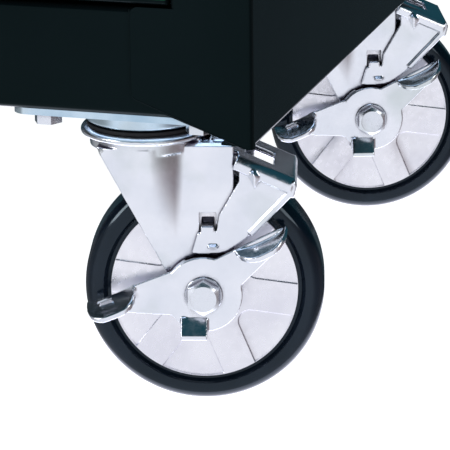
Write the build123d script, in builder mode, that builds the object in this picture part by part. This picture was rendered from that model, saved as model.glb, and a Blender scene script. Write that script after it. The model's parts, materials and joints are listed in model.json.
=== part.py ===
from build123d import *
import math
import os

os.makedirs("parts", exist_ok=True)

# Rolling tool chest, millimetres. X runs along the front, -Y is the front, +Z is up.
# The origin is on the floor, under the middle of the cabinet.

# ---- driving sizes: cabinet
cabinet_width = 686.0
cabinet_depth = 470.0
cabinet_height = 1000.0
sheet = 1.2
corner_bend = 3.0
side_drop = 13.0            # how far the side panels hang below the kick plate
post_width = 42.6
post_return = 15.0
rear_return = 22.0
hem_width = 18.0
kick_height = 56.0
kick_bend = 3.4
kick_setback = sheet
gusset_width = 63.8
gusset_rise = 21.9
gusset_round = 4.5
lid_height = 28.0
lid_wall = 1.5
mat_thickness = 3.0
mat_margin = 9.0

# ---- driving sizes: drawers
drawer_shares = (2, 2, 3, 3, 4, 6)      # face heights from the top down, in equal units
drawer_gap = 3.0
drawer_side_gap = 1.2
drawer_sill_gap = 2.5
front_depth = 20.0
front_bend = 2.5
tray_inset = 14.0           # tray side, inboard of the drawer front's end
tray_depth = 400.0
tray_wall = 1.0
tray_floor_rise = 8.0
tray_head_room = 16.0
runner_height = 32.0
runner_width = 9.5
channel_height = 40.0
channel_width = 9.5
slide_wall = 1.5
slide_gap = 3.0
upright_length = 40.0
pull_height = 16.0
pull_reach = 14.0
pull_wall = 2.0

# ---- driving sizes: casters
wheel_diameter = 127.0
tyre_width = 34.0
disc_diameter = 99.0
disc_width = 31.0
pocket_depth = 2.5
spoke_width = 18.0
spoke_count = 6
spoke_start = 52.0
pocket_round = 7.0
caster_height = 168.0
caster_trail = 30.2
caster_set_in_x = 74.0
caster_set_in_y = 55.0
front_caster_turn = 14.7    # how far each swivel caster is turned at rest, degrees
rear_caster_turn = 19.2
plate_length = 114.0
plate_depth = 102.0
plate_thickness = 3.5
plate_corner = 9.0
bolt_pitch_x = 82.0
bolt_pitch_y = 74.0
bolt_radius = 4.0
bolt_head_flats = 13.0
bolt_head_height = 5.3
bolt_clearance = 0.5
slot_length = 13.0
race_radius = 33.0
race_gap = 1.2
race_height = 11.5          # pressed race below the plate
race_wall = 3.0
ball_radius = 3.0
ball_circle = 24.0
ball_count = 22
ball_clearance = 0.3
king_pin_radius = 8.0
fork_wall = 3.0
leg_gap = 37.0              # between the two legs, inside
leg_front = 16.4            # leg's front edge, ahead of the axle
leg_foot_radius = 17.0
axle_radius = 5.0
axle_flats = 17.0
axle_head_height = 6.4
sleeve_radius = 8.0
bearing_radius = 16.0
running_clearance = 0.1
side_clearance = 0.3
rocker_thickness = 3.0
rocker_radius = 20.5
arm_thickness = 2.5

# ---- driving sizes: handle and lock
handle_radius = 11.0
handle_length = 330.0
handle_reach = 55.0
handle_drop = 70.0          # handle below the lid's top
handle_wall = 2.0
bracket_pitch = 296.0
bracket_width = 26.0
lock_radius = 9.0
lock_set_in = 70.0

# ---- worked out from the driving sizes
half_width = cabinet_width / 2
front = -cabinet_depth / 2
rear = cabinet_depth / 2
half_sheet = sheet / 2
kick_bottom = caster_height
kick_top = kick_bottom + kick_height
side_bottom = kick_bottom - side_drop
lid_bottom = cabinet_height - lid_height
lid_under = cabinet_height - lid_wall
opening_half = half_width - post_width
drawer_half = opening_half - drawer_side_gap
tray_half = drawer_half - tray_inset
caster_x = half_width - caster_set_in_x
caster_y = cabinet_depth / 2 - caster_set_in_y
axle_height = wheel_diameter / 2
leg_inner = leg_gap / 2
leg_outer = leg_inner + fork_wall
plate_bottom = caster_height - plate_thickness
race_bottom = plate_bottom - race_height
crown_top = race_bottom - race_gap
base_bottom = kick_bottom + sheet
side_inner = half_width - sheet
handle_height = cabinet_height - handle_drop


def save(piece, name):
    """Label a finished piece and write it to its own file."""
    piece.label = name
    export_step(piece, "parts/" + name + ".step")


# ======================================================================
# Cabinet
# ======================================================================

def side_sheet(name, hand):
    """One sheet: front post, side wall, rear return, turned-in hem and the low corner gusset."""
    wall_x = half_width - half_sheet
    gusset_left = half_width - gusset_width
    hem_end = corner_bend + 2 * sheet
    with BuildPart() as side:
        # post, wall and rear return, above the kick plate
        with BuildSketch(Plane.XY.offset(kick_top + sheet)):
            with BuildLine():
                FilletPolyline(
                    (opening_half + half_sheet, front + post_return),
                    (opening_half + half_sheet, front + half_sheet),
                    (wall_x, front + half_sheet),
                    (wall_x, rear - half_sheet),
                    (half_width - rear_return, rear - half_sheet),
                    radius=corner_bend - half_sheet,
                )
            trace(line_width=sheet)
        extrude(amount=lid_under - kick_top - sheet)
        # the same sheet beside the kick plate, with the wider gusset in front
        with BuildSketch(Plane.XY.offset(side_bottom)):
            with BuildLine():
                FilletPolyline(
                    (gusset_left, front + half_sheet),
                    (wall_x, front + half_sheet),
                    (wall_x, rear - half_sheet),
                    (half_width - rear_return, rear - half_sheet),
                    radius=corner_bend - half_sheet,
                )
            trace(line_width=sheet)
        extrude(amount=kick_top + sheet - side_bottom)
        # the gusset tapers down to the low corner
        with BuildSketch(Plane.XZ.offset(-front + sheet)):
            with BuildLine():
                Polyline(
                    (gusset_left - sheet, side_bottom - sheet),
                    (gusset_left - sheet, side_bottom + gusset_rise),
                    (gusset_left, side_bottom + gusset_rise),
                    (half_width - corner_bend, side_bottom),
                    (half_width - corner_bend, side_bottom - sheet),
                    close=True,
                )
            make_face()
        extrude(amount=-3 * sheet, mode=Mode.SUBTRACT)
        gusset_edges = (
            side.edges()
            .filter_by(Axis.Y)
            .filter_by(lambda e: abs(e.center().X - gusset_left) < sheet and e.center().Y < front + sheet)
        )
        fillet(gusset_edges, gusset_round)
        # the hem under the side wall
        with BuildSketch(Plane.XZ.offset(-front - hem_end)):
            with Locations((half_width - half_sheet, side_bottom + hem_end / 2)):
                Rectangle(2 * sheet, hem_end + sheet)
        extrude(amount=-(cabinet_depth - 2 * hem_end), mode=Mode.SUBTRACT)
        with BuildSketch(Plane.XZ.offset(-front - hem_end)):
            with BuildLine():
                FilletPolyline(
                    (wall_x, side_bottom + hem_end + sheet),
                    (wall_x, side_bottom + half_sheet),
                    (half_width - hem_width, side_bottom + half_sheet),
                    radius=corner_bend - half_sheet,
                )
            trace(line_width=sheet)
        extrude(amount=-(cabinet_depth - 2 * hem_end))
        if hand < 0:
            mirror(about=Plane.YZ, mode=Mode.REPLACE)
    save(side.part, name)


side_sheet("side_right", 1)
side_sheet("side_left", -1)

# Where the sixteen caster bolts pass through the floor of the cabinet.
caster_spots = [(x, y) for x in (-caster_x, caster_x) for y in (-caster_y, caster_y)]
bolt_spots = [
    (x + i * bolt_pitch_x / 2, y + j * bolt_pitch_y / 2)
    for x, y in caster_spots
    for i in (-1, 1)
    for j in (-1, 1)
]

# Kick plate: a channel between the side sheets, set back by the gusset's thickness.
kick_face = front + kick_setback + half_sheet
with BuildPart() as kick:
    with BuildSketch(Plane.YZ.offset(-side_inner + corner_bend)):
        with BuildLine():
            FilletPolyline(
                (front + post_return, kick_top - half_sheet),
                (kick_face, kick_top - half_sheet),
                (kick_face, kick_bottom + half_sheet),
                (front + caster_set_in_y / 2, kick_bottom + half_sheet),
                radius=(corner_bend - half_sheet, kick_bend),
            )
        trace(line_width=sheet)
    extrude(amount=2 * (side_inner - corner_bend))
    with BuildSketch(Plane.XY.offset(kick_bottom)):
        with Locations(*bolt_spots):
            Circle(bolt_radius + bolt_clearance)
    extrude(amount=sheet, mode=Mode.SUBTRACT)
save(kick.part, "kick_plate")

# Two flat rails carry the caster plates, level with the kick plate's bottom ledge.
rail_front = front + caster_set_in_y / 2 + sheet
rail_rear = rear - 2 * sheet
with BuildPart() as rails:
    with BuildSketch(Plane.XY.offset(kick_bottom)):
        with Locations(*[(x, (rail_front + rail_rear) / 2) for x in (-caster_x, caster_x)]):
            Rectangle(plate_length, rail_rear - rail_front)
        with Locations(*bolt_spots):
            Circle(bolt_radius + bolt_clearance, mode=Mode.SUBTRACT)
    extrude(amount=sheet)
save(rails.part, "caster_rails")

# Floor of the cabinet.
base_front = front + kick_setback + sheet + kick_bend
with BuildPart() as base:
    with BuildSketch(Plane.XY.offset(base_bottom)):
        with Locations((0, (base_front + rail_rear) / 2)):
            RectangleRounded(2 * side_inner, rail_rear - base_front, corner_bend)
        with Locations(*bolt_spots):
            Circle(bolt_radius + bolt_clearance, mode=Mode.SUBTRACT)
    extrude(amount=sheet)
save(base.part, "base_pan")

# Back panel, inside the rear returns of the side sheets.
with BuildPart() as back:
    with BuildSketch(Plane.XZ.offset(-rear + 2 * sheet)):
        with Locations((0, (kick_bottom + lid_under) / 2)):
            Rectangle(2 * (side_inner - corner_bend), lid_under - kick_bottom)
    extrude(amount=-sheet)
save(back.part, "back_panel")

# Lid: a shallow inverted tray over the top of the sides, with a hole for the lock.
lock_x = half_width - lock_set_in
lock_z = lid_bottom + lid_height / 2
with BuildPart() as lid:
    with BuildSketch(Plane.XY.offset(lid_bottom)):
        RectangleRounded(cabinet_width + 2 * lid_wall, cabinet_depth + 2 * lid_wall, corner_bend + lid_wall)
    extrude(amount=lid_height)
    fillet(lid.faces().sort_by(Axis.Z)[-1].edges(), corner_bend)
    with BuildSketch(Plane.XY.offset(lid_bottom)):
        RectangleRounded(cabinet_width, cabinet_depth, corner_bend)
    extrude(amount=lid_height - lid_wall, mode=Mode.SUBTRACT)
    with BuildSketch(Plane.XZ.offset(-front + 2 * lid_wall)):
        with Locations((lock_x, lock_z)):
            Circle(lock_radius + running_clearance)
    extrude(amount=-4 * lid_wall, mode=Mode.SUBTRACT)
save(lid.part, "top_lid")

# Rubber mat on the lid.
with BuildPart() as mat:
    with BuildSketch(Plane.XY.offset(cabinet_height)):
        RectangleRounded(cabinet_width - 2 * mat_margin, cabinet_depth - 2 * mat_margin, 2 * corner_bend)
    extrude(amount=mat_thickness)
    chamfer(mat.faces().sort_by(Axis.Z)[-1].edges(), mat_thickness / 3)
save(mat.part, "top_mat")

# Push handle: a tube along the right side, in two brackets.
handle_x = half_width + handle_reach
cap_length = 6.0
with BuildPart() as handle:
    with BuildSketch(Plane.XZ.offset(-handle_length / 2)):
        with Locations((handle_x, handle_height)):
            Circle(handle_radius)
            Circle(handle_radius - handle_wall, mode=Mode.SUBTRACT)
    extrude(amount=handle_length)
    with BuildSketch(Plane.XZ.offset(-handle_length / 2), Plane.XZ.offset(handle_length / 2 - cap_length)):
        with Locations((handle_x, handle_height)):
            Circle(handle_radius)
    extrude(amount=cap_length)
    fillet(handle.edges().filter_by(GeomType.CIRCLE).filter_by(
        lambda e: abs(e.radius - handle_radius) < running_clearance), cap_length / 3)
save(handle.part, "handle_bar")

bracket_foot = 4.0
bracket_ring = 5.0
with BuildPart() as brackets:
    for y in (-bracket_pitch / 2, bracket_pitch / 2):
        ring_plane = Plane.XZ.offset(-y - bracket_width / 2)
        with BuildSketch(ring_plane):
            with BuildLine():
                Polyline(
                    (half_width, handle_height - bracket_width),
                    (half_width + bracket_foot, handle_height - bracket_width),
                    (handle_x, handle_height - handle_radius - bracket_ring),
                    (handle_x, handle_height + handle_radius + bracket_ring),
                    (half_width + bracket_foot, handle_height + bracket_width),
                    (half_width, handle_height + bracket_width),
                    close=True,
                )
            make_face()
            with Locations((handle_x, handle_height)):
                Circle(handle_radius + bracket_ring)
                Circle(handle_radius + running_clearance / 2, mode=Mode.SUBTRACT)
        extrude(amount=bracket_width)
save(brackets.part, "handle_brackets")

# Lock: barrel through the lid's front wall, with its cam behind.
lock_flange = 2.0
lock_depth = 24.0
cam_length = 26.0
cam_width = 10.0
with BuildPart() as lock:
    with BuildSketch(Plane.XZ.offset(-front + lid_wall)):
        with Locations((lock_x, lock_z)):
            Circle(lock_radius + lock_flange)
    extrude(amount=lock_flange)
    fillet(lock.faces().sort_by(Axis.Y)[0].edges(), lock_flange / 2)
    with BuildSketch(Plane.XZ.offset(-front + lid_wall)):
        with Locations((lock_x, lock_z)):
            Circle(lock_radius)
    extrude(amount=-lock_depth)
    with BuildSketch(Plane.XZ.offset(-front + lid_wall - lock_depth)):
        with Locations((lock_x - cam_length / 2 + cam_width / 2, lock_z)):
            SlotOverall(cam_length, cam_width)
    extrude(amount=-lock_flange)
    with BuildSketch(Plane.XZ.offset(-front + lid_wall + lock_flange)):
        with Locations((lock_x, lock_z)):
            SlotOverall(lock_radius, lock_flange, rotation=90)
    extrude(amount=-2 * lock_flange, mode=Mode.SUBTRACT)
save(lock.part, "lock_barrel")

# ======================================================================
# Drawers and slides
# ======================================================================

sill = kick_top + drawer_sill_gap
gaps = drawer_gap * len(drawer_shares)
share = (lid_bottom - sill - gaps) / sum(drawer_shares)

drawer_spans = []
top_edge = lid_bottom - drawer_gap
for units in drawer_shares:
    drawer_spans.append((top_edge - units * share, top_edge))
    top_edge = top_edge - units * share - drawer_gap

tray_front = front + front_depth - tray_wall
tray_rear = tray_front + tray_depth
runner_in = tray_half
channel_out = tray_half + slide_gap + channel_width
slide_rear = tray_rear - 2 * slide_gap
slide_front = front + front_depth + slide_gap


def slide_centre(bottom, top):
    """Height of a slide's middle: below the tray's rim, clear of its floor."""
    return bottom + tray_floor_rise + (top - bottom - tray_floor_rise - tray_head_room) / 2


for number, (bottom, top) in enumerate(drawer_spans, start=1):
    name = "drawer_" + str(number)
    tray_bottom = bottom + tray_floor_rise
    tray_top = top - tray_head_room
    slide_z = slide_centre(bottom, top)

    # Box: folded front pan welded to an open tray.
    with BuildPart() as box:
        with BuildSketch(Plane.XZ.offset(-front)):
            with Locations((0, (bottom + top) / 2)):
                Rectangle(2 * drawer_half, top - bottom)
        extrude(amount=-front_depth)
        fillet(box.faces().sort_by(Axis.Y)[0].edges(), front_bend)
        with BuildSketch(Plane.XZ.offset(-front - sheet)):
            with Locations((0, (bottom + top) / 2)):
                Rectangle(2 * (drawer_half - sheet), top - bottom - 2 * sheet)
        extrude(amount=-front_depth, mode=Mode.SUBTRACT)
        with BuildSketch(Plane.XY.offset(tray_bottom)):
            with Locations((0, (tray_front + tray_rear) / 2)):
                Rectangle(2 * tray_half, tray_depth)
        extrude(amount=tray_top - tray_bottom)
        fillet(box.edges().filter_by(Axis.X).filter_by(
            lambda e: abs(e.center().Y - tray_rear) < tray_wall and e.center().Z < tray_bottom + tray_wall),
            front_bend)
        with BuildSketch(Plane.XY.offset(tray_bottom + tray_wall)):
            with Locations((0, (tray_front + tray_rear) / 2)):
                Rectangle(2 * (tray_half - tray_wall), tray_depth - 2 * tray_wall)
        extrude(amount=top - tray_bottom, mode=Mode.SUBTRACT)
        with BuildSketch(Plane.XZ.offset(-front - front_depth)):
            with Locations((0, (bottom + top) / 2)):
                Rectangle(2 * tray_half, top - bottom - 2 * sheet)
        extrude(amount=tray_wall)
    save(box.part, name + "_box")

    # Pull: an extruded rail along the top edge of the front, with a finger gap behind its lip.
    with BuildPart() as pull:
        with BuildSketch(Plane.YZ.offset(-drawer_half + front_bend)):
            with BuildLine():
                FilletPolyline(
                    (front - pull_wall / 2, top - front_bend - pull_height),
                    (front - pull_wall / 2, top - front_bend - pull_wall / 2),
                    (front - pull_reach + pull_wall / 2, top - front_bend - pull_wall / 2),
                    (front - pull_reach + pull_wall / 2, top - front_bend - pull_height + pull_wall),
                    radius=(pull_wall, pull_wall),
                )
            trace(line_width=pull_wall)
        extrude(amount=2 * (drawer_half - front_bend))
    save(pull.part, name + "_pull")

    # Moving slide members, one on each side of the tray.
    with BuildPart() as runners:
        for hand in (-1, 1):
            with BuildSketch(Plane.XZ.offset(-slide_front)):
                with Locations((hand * (runner_in + runner_width / 2), slide_z)):
                    Rectangle(runner_width, runner_height)
                with Locations((hand * (runner_in + runner_width / 2 + slide_wall), slide_z)):
                    Rectangle(runner_width, runner_height - 2 * slide_wall, mode=Mode.SUBTRACT)
            extrude(amount=-(slide_rear - slide_front))
    save(runners.part, name + "_runners")

# Fixed slide members, on four uprights behind the posts.
upright_x = (channel_out + side_inner) / 2
upright_width = side_inner - channel_out
upright_bottom = base_bottom + sheet
with BuildPart() as frame_work:
    for hand in (-1, 1):
        for bottom, top in drawer_spans:
            slide_z = slide_centre(bottom, top)
            with BuildSketch(Plane.XZ.offset(-slide_front)):
                with Locations((hand * (channel_out - channel_width / 2), slide_z)):
                    Rectangle(channel_width, channel_height)
                with Locations((hand * (channel_out - channel_width / 2 - slide_wall), slide_z)):
                    Rectangle(channel_width, channel_height - 2 * slide_wall, mode=Mode.SUBTRACT)
            extrude(amount=-(slide_rear - slide_front))
        for y in (-caster_y, caster_y):
            with BuildSketch(Plane.XY.offset(upright_bottom)):
                with Locations((hand * upright_x, y)):
                    Rectangle(upright_width, upright_length)
                with Locations((hand * (upright_x + slide_wall), y)):
                    Rectangle(upright_width, upright_length - 2 * slide_wall, mode=Mode.SUBTRACT)
            extrude(amount=lid_under - upright_bottom)
save(frame_work.part, "slide_frame")

# ======================================================================
# Casters
# ======================================================================

def ground_plane(x, y, turn):
    """Floor plane under a caster, its local X along the caster's trail."""
    angle = math.radians(turn)
    return Plane(origin=(x, y, 0), x_dir=(math.cos(angle), math.sin(angle), 0), z_dir=(0, 0, 1))


def wheel_plane(ground, trail):
    """Mid plane of the wheel: origin at the axle, local Y up, normal towards the brake side."""
    origin = ground.from_local_coords(Vector(trail, 0, axle_height))
    return Plane(origin=origin, x_dir=ground.x_dir, z_dir=-ground.y_dir)


def wheel_core(name, wheel, hub_radius):
    """Cast core: a disc with shallow pockets between six spokes on both faces."""
    disc_radius = disc_diameter / 2
    pocket_angle = 360 / spoke_count
    with BuildPart() as core:
        with BuildSketch(wheel.offset(-disc_width / 2)):
            Circle(disc_radius)
            Circle(hub_radius, mode=Mode.SUBTRACT)
        extrude(amount=disc_width)
        apex = spoke_width / 2 / math.sin(math.radians(pocket_angle / 2))
        reach = 2 * disc_radius
        half = math.radians(pocket_angle / 2)
        for face_at, depth in ((disc_width / 2, -pocket_depth), (-disc_width / 2, pocket_depth)):
            with BuildSketch(wheel.offset(face_at)) as pockets:
                with PolarLocations(0, spoke_count, start_angle=spoke_start + pocket_angle / 2):
                    with BuildLine():
                        Polyline(
                            (apex, 0),
                            (apex + reach * math.cos(half), reach * math.sin(half)),
                            (apex + reach * math.cos(half), -reach * math.sin(half)),
                            close=True,
                        )
                    make_face()
                fillet(pockets.vertices().group_by(lambda v: round(v.distance_to(Vertex(0, 0, 0)), 1))[0],
                       pocket_round)
            extrude(amount=depth, mode=Mode.SUBTRACT)
    save(core.part, name)


def tyre(name, wheel):
    """Solid tyre, round-shouldered, with a groove beside the disc."""
    radius = wheel_diameter / 2
    inner = disc_diameter / 2
    half = tyre_width / 2
    groove = 2.0
    groove_depth = 3.0
    shoulder = 8.0
    with BuildPart() as ring:
        section = Plane(origin=wheel.origin, x_dir=(0, 0, 1), z_dir=wheel.x_dir)
        with BuildSketch(section) as profile:
            with BuildLine():
                Polyline(
                    (inner, -half + groove_depth),
                    (inner + groove, -half + groove_depth),
                    (inner + 2 * groove, -half),
                    (radius, -half),
                    (radius, half),
                    (inner + 2 * groove, half),
                    (inner + groove, half - groove_depth),
                    (inner, half - groove_depth),
                    close=True,
                )
            make_face()
            fillet(profile.vertices().group_by(Axis.X)[-1], shoulder)
        revolve(axis=Axis(wheel.origin, wheel.z_dir))
    save(ring.part, name)


def bearings(name, wheel):
    """Two bearings, pressed in the hub, that run on the axle sleeve."""
    bearing_width = 8.0
    bearing_in = 6.0
    with BuildPart() as rings:
        with BuildSketch(wheel.offset(bearing_in), wheel.offset(-bearing_in - bearing_width)):
            Circle(bearing_radius)
            Circle(sleeve_radius + running_clearance, mode=Mode.SUBTRACT)
        extrude(amount=bearing_width)
    save(rings.part, name)


def vertical(x, y):
    """Upright axis through a caster's swivel."""
    return Axis((x, y, 0), (0, 0, 1))


def caster_plate(name, x, y):
    """Top plate of a swivel caster, with the upper ball race pressed down out of it."""
    section = Plane(origin=(x, y, 0), x_dir=(1, 0, 0), z_dir=(0, -1, 0))
    race_top = plate_bottom + plate_thickness / 2
    draft = 0.6
    with BuildPart() as plate:
        with BuildSketch(Plane(origin=(x, y, plate_bottom))):
            RectangleRounded(plate_length, plate_depth, plate_corner)
            Circle(race_radius - race_wall, mode=Mode.SUBTRACT)
            with GridLocations(bolt_pitch_x, bolt_pitch_y, 2, 2):
                SlotOverall(slot_length, 2 * (bolt_radius + bolt_clearance), mode=Mode.SUBTRACT)
        extrude(amount=plate_thickness)
        with BuildSketch(section) as race:
            with BuildLine():
                FilletPolyline(
                    (race_radius, race_top),
                    (race_radius - draft, race_bottom),
                    (king_pin_radius + running_clearance / 2, race_bottom),
                    (king_pin_radius + running_clearance / 2, race_bottom + race_wall),
                    (race_radius - race_wall - draft, race_bottom + race_wall),
                    (race_radius - race_wall, race_top),
                    radius=(0, race_wall, 0, 0, race_wall / 2, 0),
                    close=True,
                )
            make_face()
        revolve(axis=vertical(x, y))
        with BuildSketch(section):
            with Locations((ball_circle, race_bottom - race_gap / 2)):
                Circle(ball_radius + ball_clearance)
        revolve(axis=vertical(x, y), mode=Mode.SUBTRACT)
    save(plate.part, name)


def king_pin(name, x, y):
    """Rivet through the middle of the swivel, with a head above the race and one under the crown."""
    section = Plane(origin=(x, y, 0), x_dir=(1, 0, 0), z_dir=(0, -1, 0))
    head_radius = 13.0
    head_height = 4.0
    head_edge = 1.0
    low = crown_top - fork_wall - side_clearance
    high = race_bottom + race_wall
    with BuildPart() as pin:
        with BuildSketch(section):
            with BuildLine():
                Polyline(
                    (0, low - head_height),
                    (head_radius - head_edge, low - head_height),
                    (head_radius, low - head_height + head_edge),
                    (head_radius, low),
                    (king_pin_radius, low),
                    (king_pin_radius, high),
                    (head_radius, high),
                    (head_radius, high + head_height - head_edge),
                    (head_radius - head_edge, high + head_height),
                    (0, high + head_height),
                    close=True,
                )
            make_face()
        revolve(axis=vertical(x, y))
    save(pin.part, name)


def balls(name, ground):
    """Ring of loose balls between the two races."""
    with BuildPart() as ring:
        with Locations(ground.offset(race_bottom - race_gap / 2)):
            with PolarLocations(ball_circle, ball_count):
                Sphere(ball_radius)
    save(ring.part, name)


# Outline of the fork's parts, seen from the brake side: X ahead of the axle, Y above it.
crown_overhang = 0.6
crown_height = 12.0
crown_step = 6.5
crown_radius = race_radius + crown_overhang
crown_bottom = crown_top - crown_height
fork_top = crown_top - crown_step
window_width = 9.0
window_height = 10.6
window_centre = (2.4, 38.3)
foot_lug_width = 14.0
foot_lug_drop = 26.0
foot_lug_centre = -5.0
foot_margin = 1.6
brow_step = 2.2
shoulder_bend = fork_wall + 1.0


def fork(name, ground, wheel):
    """Pressed fork: dished crown, flat shoulder and two legs, in one piece."""
    axis = Axis(ground.origin, (0, 0, 1))
    section = Plane(origin=ground.origin, x_dir=ground.x_dir, z_dir=-ground.y_dir)
    bore = king_pin_radius + running_clearance
    leg_back = math.sqrt((crown_radius - fork_wall / 2) ** 2 - (leg_inner + fork_wall / 2) ** 2)
    high = crown_top - fork_wall / 2 - axle_height
    shoulder = fork_top - axle_height
    brow = crown_bottom - axle_height
    leg_edge_top = brow - brow_step
    front_reach = caster_trail + leg_front
    with BuildPart() as body:
        with BuildSketch(section):
            with BuildLine():
                FilletPolyline(
                    (bore, crown_top),
                    (crown_radius, crown_top),
                    (crown_radius, crown_bottom),
                    (crown_radius - fork_wall, crown_bottom),
                    (crown_radius - fork_wall, crown_top - fork_wall),
                    (bore, crown_top - fork_wall),
                    radius=(0, fork_wall, fork_wall / 3, fork_wall / 3, fork_wall / 3, 0),
                    close=True,
                )
            make_face()
        revolve(axis=axis)
        with BuildSketch(ground.offset(fork_top - fork_wall)):
            with Locations(((front_reach - leg_back) / 2, 0)):
                Rectangle(front_reach + leg_back, 2 * leg_outer)
            Circle(crown_radius - fork_wall, mode=Mode.SUBTRACT)
        extrude(amount=fork_wall)
        for leg_at in (leg_inner, -leg_outer):
            with BuildSketch(wheel.offset(leg_at)):
                with BuildLine():
                    Polyline(
                        (-caster_trail - leg_back, high),
                        (-caster_trail - leg_back, brow),
                        (-caster_trail - leg_back + brow_step, leg_edge_top),
                        (-leg_foot_radius - foot_margin, leg_foot_radius / 2),
                        (-leg_foot_radius, 0),
                        (leg_front, 0),
                        (leg_front, shoulder),
                        (-caster_trail + leg_back / 2, shoulder),
                        (-caster_trail + leg_back / 2, high),
                        close=True,
                    )
                make_face()
                Circle(leg_foot_radius + foot_margin)
                with Locations((foot_lug_centre, -foot_lug_drop / 2)):
                    Rectangle(foot_lug_width, foot_lug_drop)
                Circle(axle_radius + running_clearance / 2, mode=Mode.SUBTRACT)
                with Locations(window_centre):
                    Rectangle(window_width, window_height, mode=Mode.SUBTRACT)
            extrude(amount=fork_wall)
        long_bends = (
            body.edges()
            .filter_by(Axis(ground.origin, ground.x_dir))
            .filter_by(lambda e: abs(e.center().Z - fork_top) < running_clearance)
            .filter_by(lambda e: abs(abs(ground.to_local_coords(e.center()).Y) - leg_outer) < running_clearance)
            .filter_by(lambda e: ground.to_local_coords(e.center()).X > leg_back)
        )
        fillet(long_bends, shoulder_bend)
        # lip on the brake-side foot
        with BuildSketch(wheel.offset(leg_outer)):
            with Locations((foot_lug_centre, -foot_lug_drop + fork_wall / 2)):
                Rectangle(foot_lug_width, fork_wall)
        extrude(amount=fork_wall)
        # ball groove
        with BuildSketch(section):
            with Locations((ball_circle, race_bottom - race_gap / 2)):
                Circle(ball_radius + ball_clearance)
        revolve(axis=axis, mode=Mode.SUBTRACT)
    save(body.part, name)


# Stack along the axle, outwards from the brake-side leg.
arm_back = leg_outer + side_clearance
arm_face = arm_back + arm_thickness
rocker_gap = 0.5
rocker_back = arm_face + rocker_gap
rocker_face = rocker_back + rocker_thickness
washer_thickness = 1.0
head_back = rocker_face + side_clearance + washer_thickness
nut_height = 8.0
thread_end = 2.0            # bolt beyond its nut
head_round = 0.8
washer_radius = 10.5
collar_radius = 11.0        # spacer that the brake arm straddles


def axle(name, wheel, outer_end):
    """Bolt, nut, washers and the sleeve that the bearings run on: separate solids of one set."""
    nut_face = -leg_outer - washer_thickness
    bore = axle_radius + running_clearance / 2
    with BuildPart() as bolt:
        with BuildSketch(wheel.offset(outer_end)):
            RegularPolygon(axle_flats / 2, 6, major_radius=False)
        extrude(amount=axle_head_height)
        fillet(bolt.faces().sort_by(Axis(wheel.origin, wheel.z_dir))[-1].edges(), head_round)
        with BuildSketch(wheel.offset(nut_face - nut_height - thread_end)):
            Circle(axle_radius)
        extrude(amount=outer_end - nut_face + nut_height + thread_end)
    with BuildPart() as nut:
        with BuildSketch(wheel.offset(nut_face)):
            RegularPolygon(axle_flats / 2, 6, major_radius=False)
            Circle(bore, mode=Mode.SUBTRACT)
        extrude(amount=-nut_height)
    rings = [
        (-leg_outer - washer_thickness, washer_thickness, washer_radius),
        (-leg_inner + running_clearance, leg_gap - 2 * running_clearance, sleeve_radius),
    ]
    if outer_end > leg_outer + washer_thickness:
        rings.append((leg_outer, rocker_back - leg_outer - running_clearance, collar_radius))
    rings.append((outer_end - washer_thickness, washer_thickness, washer_radius))
    with BuildPart() as tubes:
        for start, length, radius in rings:
            with BuildSketch(wheel.offset(start)):
                Circle(radius)
                Circle(bore, mode=Mode.SUBTRACT)
            extrude(amount=length)
    save(Compound([*bolt.part.solids(), *nut.part.solids(), *tubes.part.solids()]), name)


tolerance = 0.01


def strip(plane, start, end, thickness, depth, tip_radius):
    """Flat tread bent out of a plate: its section runs from start to end, and it stands out by depth."""
    run = Vector(*end) - Vector(*start)
    across = Vector(-run.Y, run.X) * (thickness / run.length)
    with BuildPart(mode=Mode.PRIVATE) as tread:
        with BuildSketch(plane):
            with BuildLine():
                Polyline(
                    start,
                    end,
                    (end[0] - across.X, end[1] - across.Y),
                    (start[0] - across.X, start[1] - across.Y),
                    close=True,
                )
            make_face()
        extrude(amount=depth)
        outer = tread.faces().sort_by(Axis(plane.origin, plane.z_dir))[-1]
        tips = outer.edges().filter_by(lambda e: e.length < thickness + tolerance)
        fillet(tips, tip_radius)
    return tread.part


# Outlines of the brake parts, ahead of the axle and above it.
release_tread = ((-61.5, -6.0), (-37.0, 4.5))
release_reach = 16.5
release_tip = 6.0
brake_tread = ((15.5, 24.5), (43.0, 38.5))
brake_reach = 14.5
brake_tip = 11.0
release_limb = [(-13.0, 12.0), (-37.0, 4.5), (-43.5, 1.5), (-42.6, -10.0), (-12.0, -11.5)]
brake_limb = [
    (0.0, 15.0), (15.5, 24.5), (43.0, 38.5), (43.5, 31.0), (38.6, 24.3), (20.4, 5.7), (8.0, -4.0),
]
skirt_middle = 145
skirt_half = 20


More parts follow.
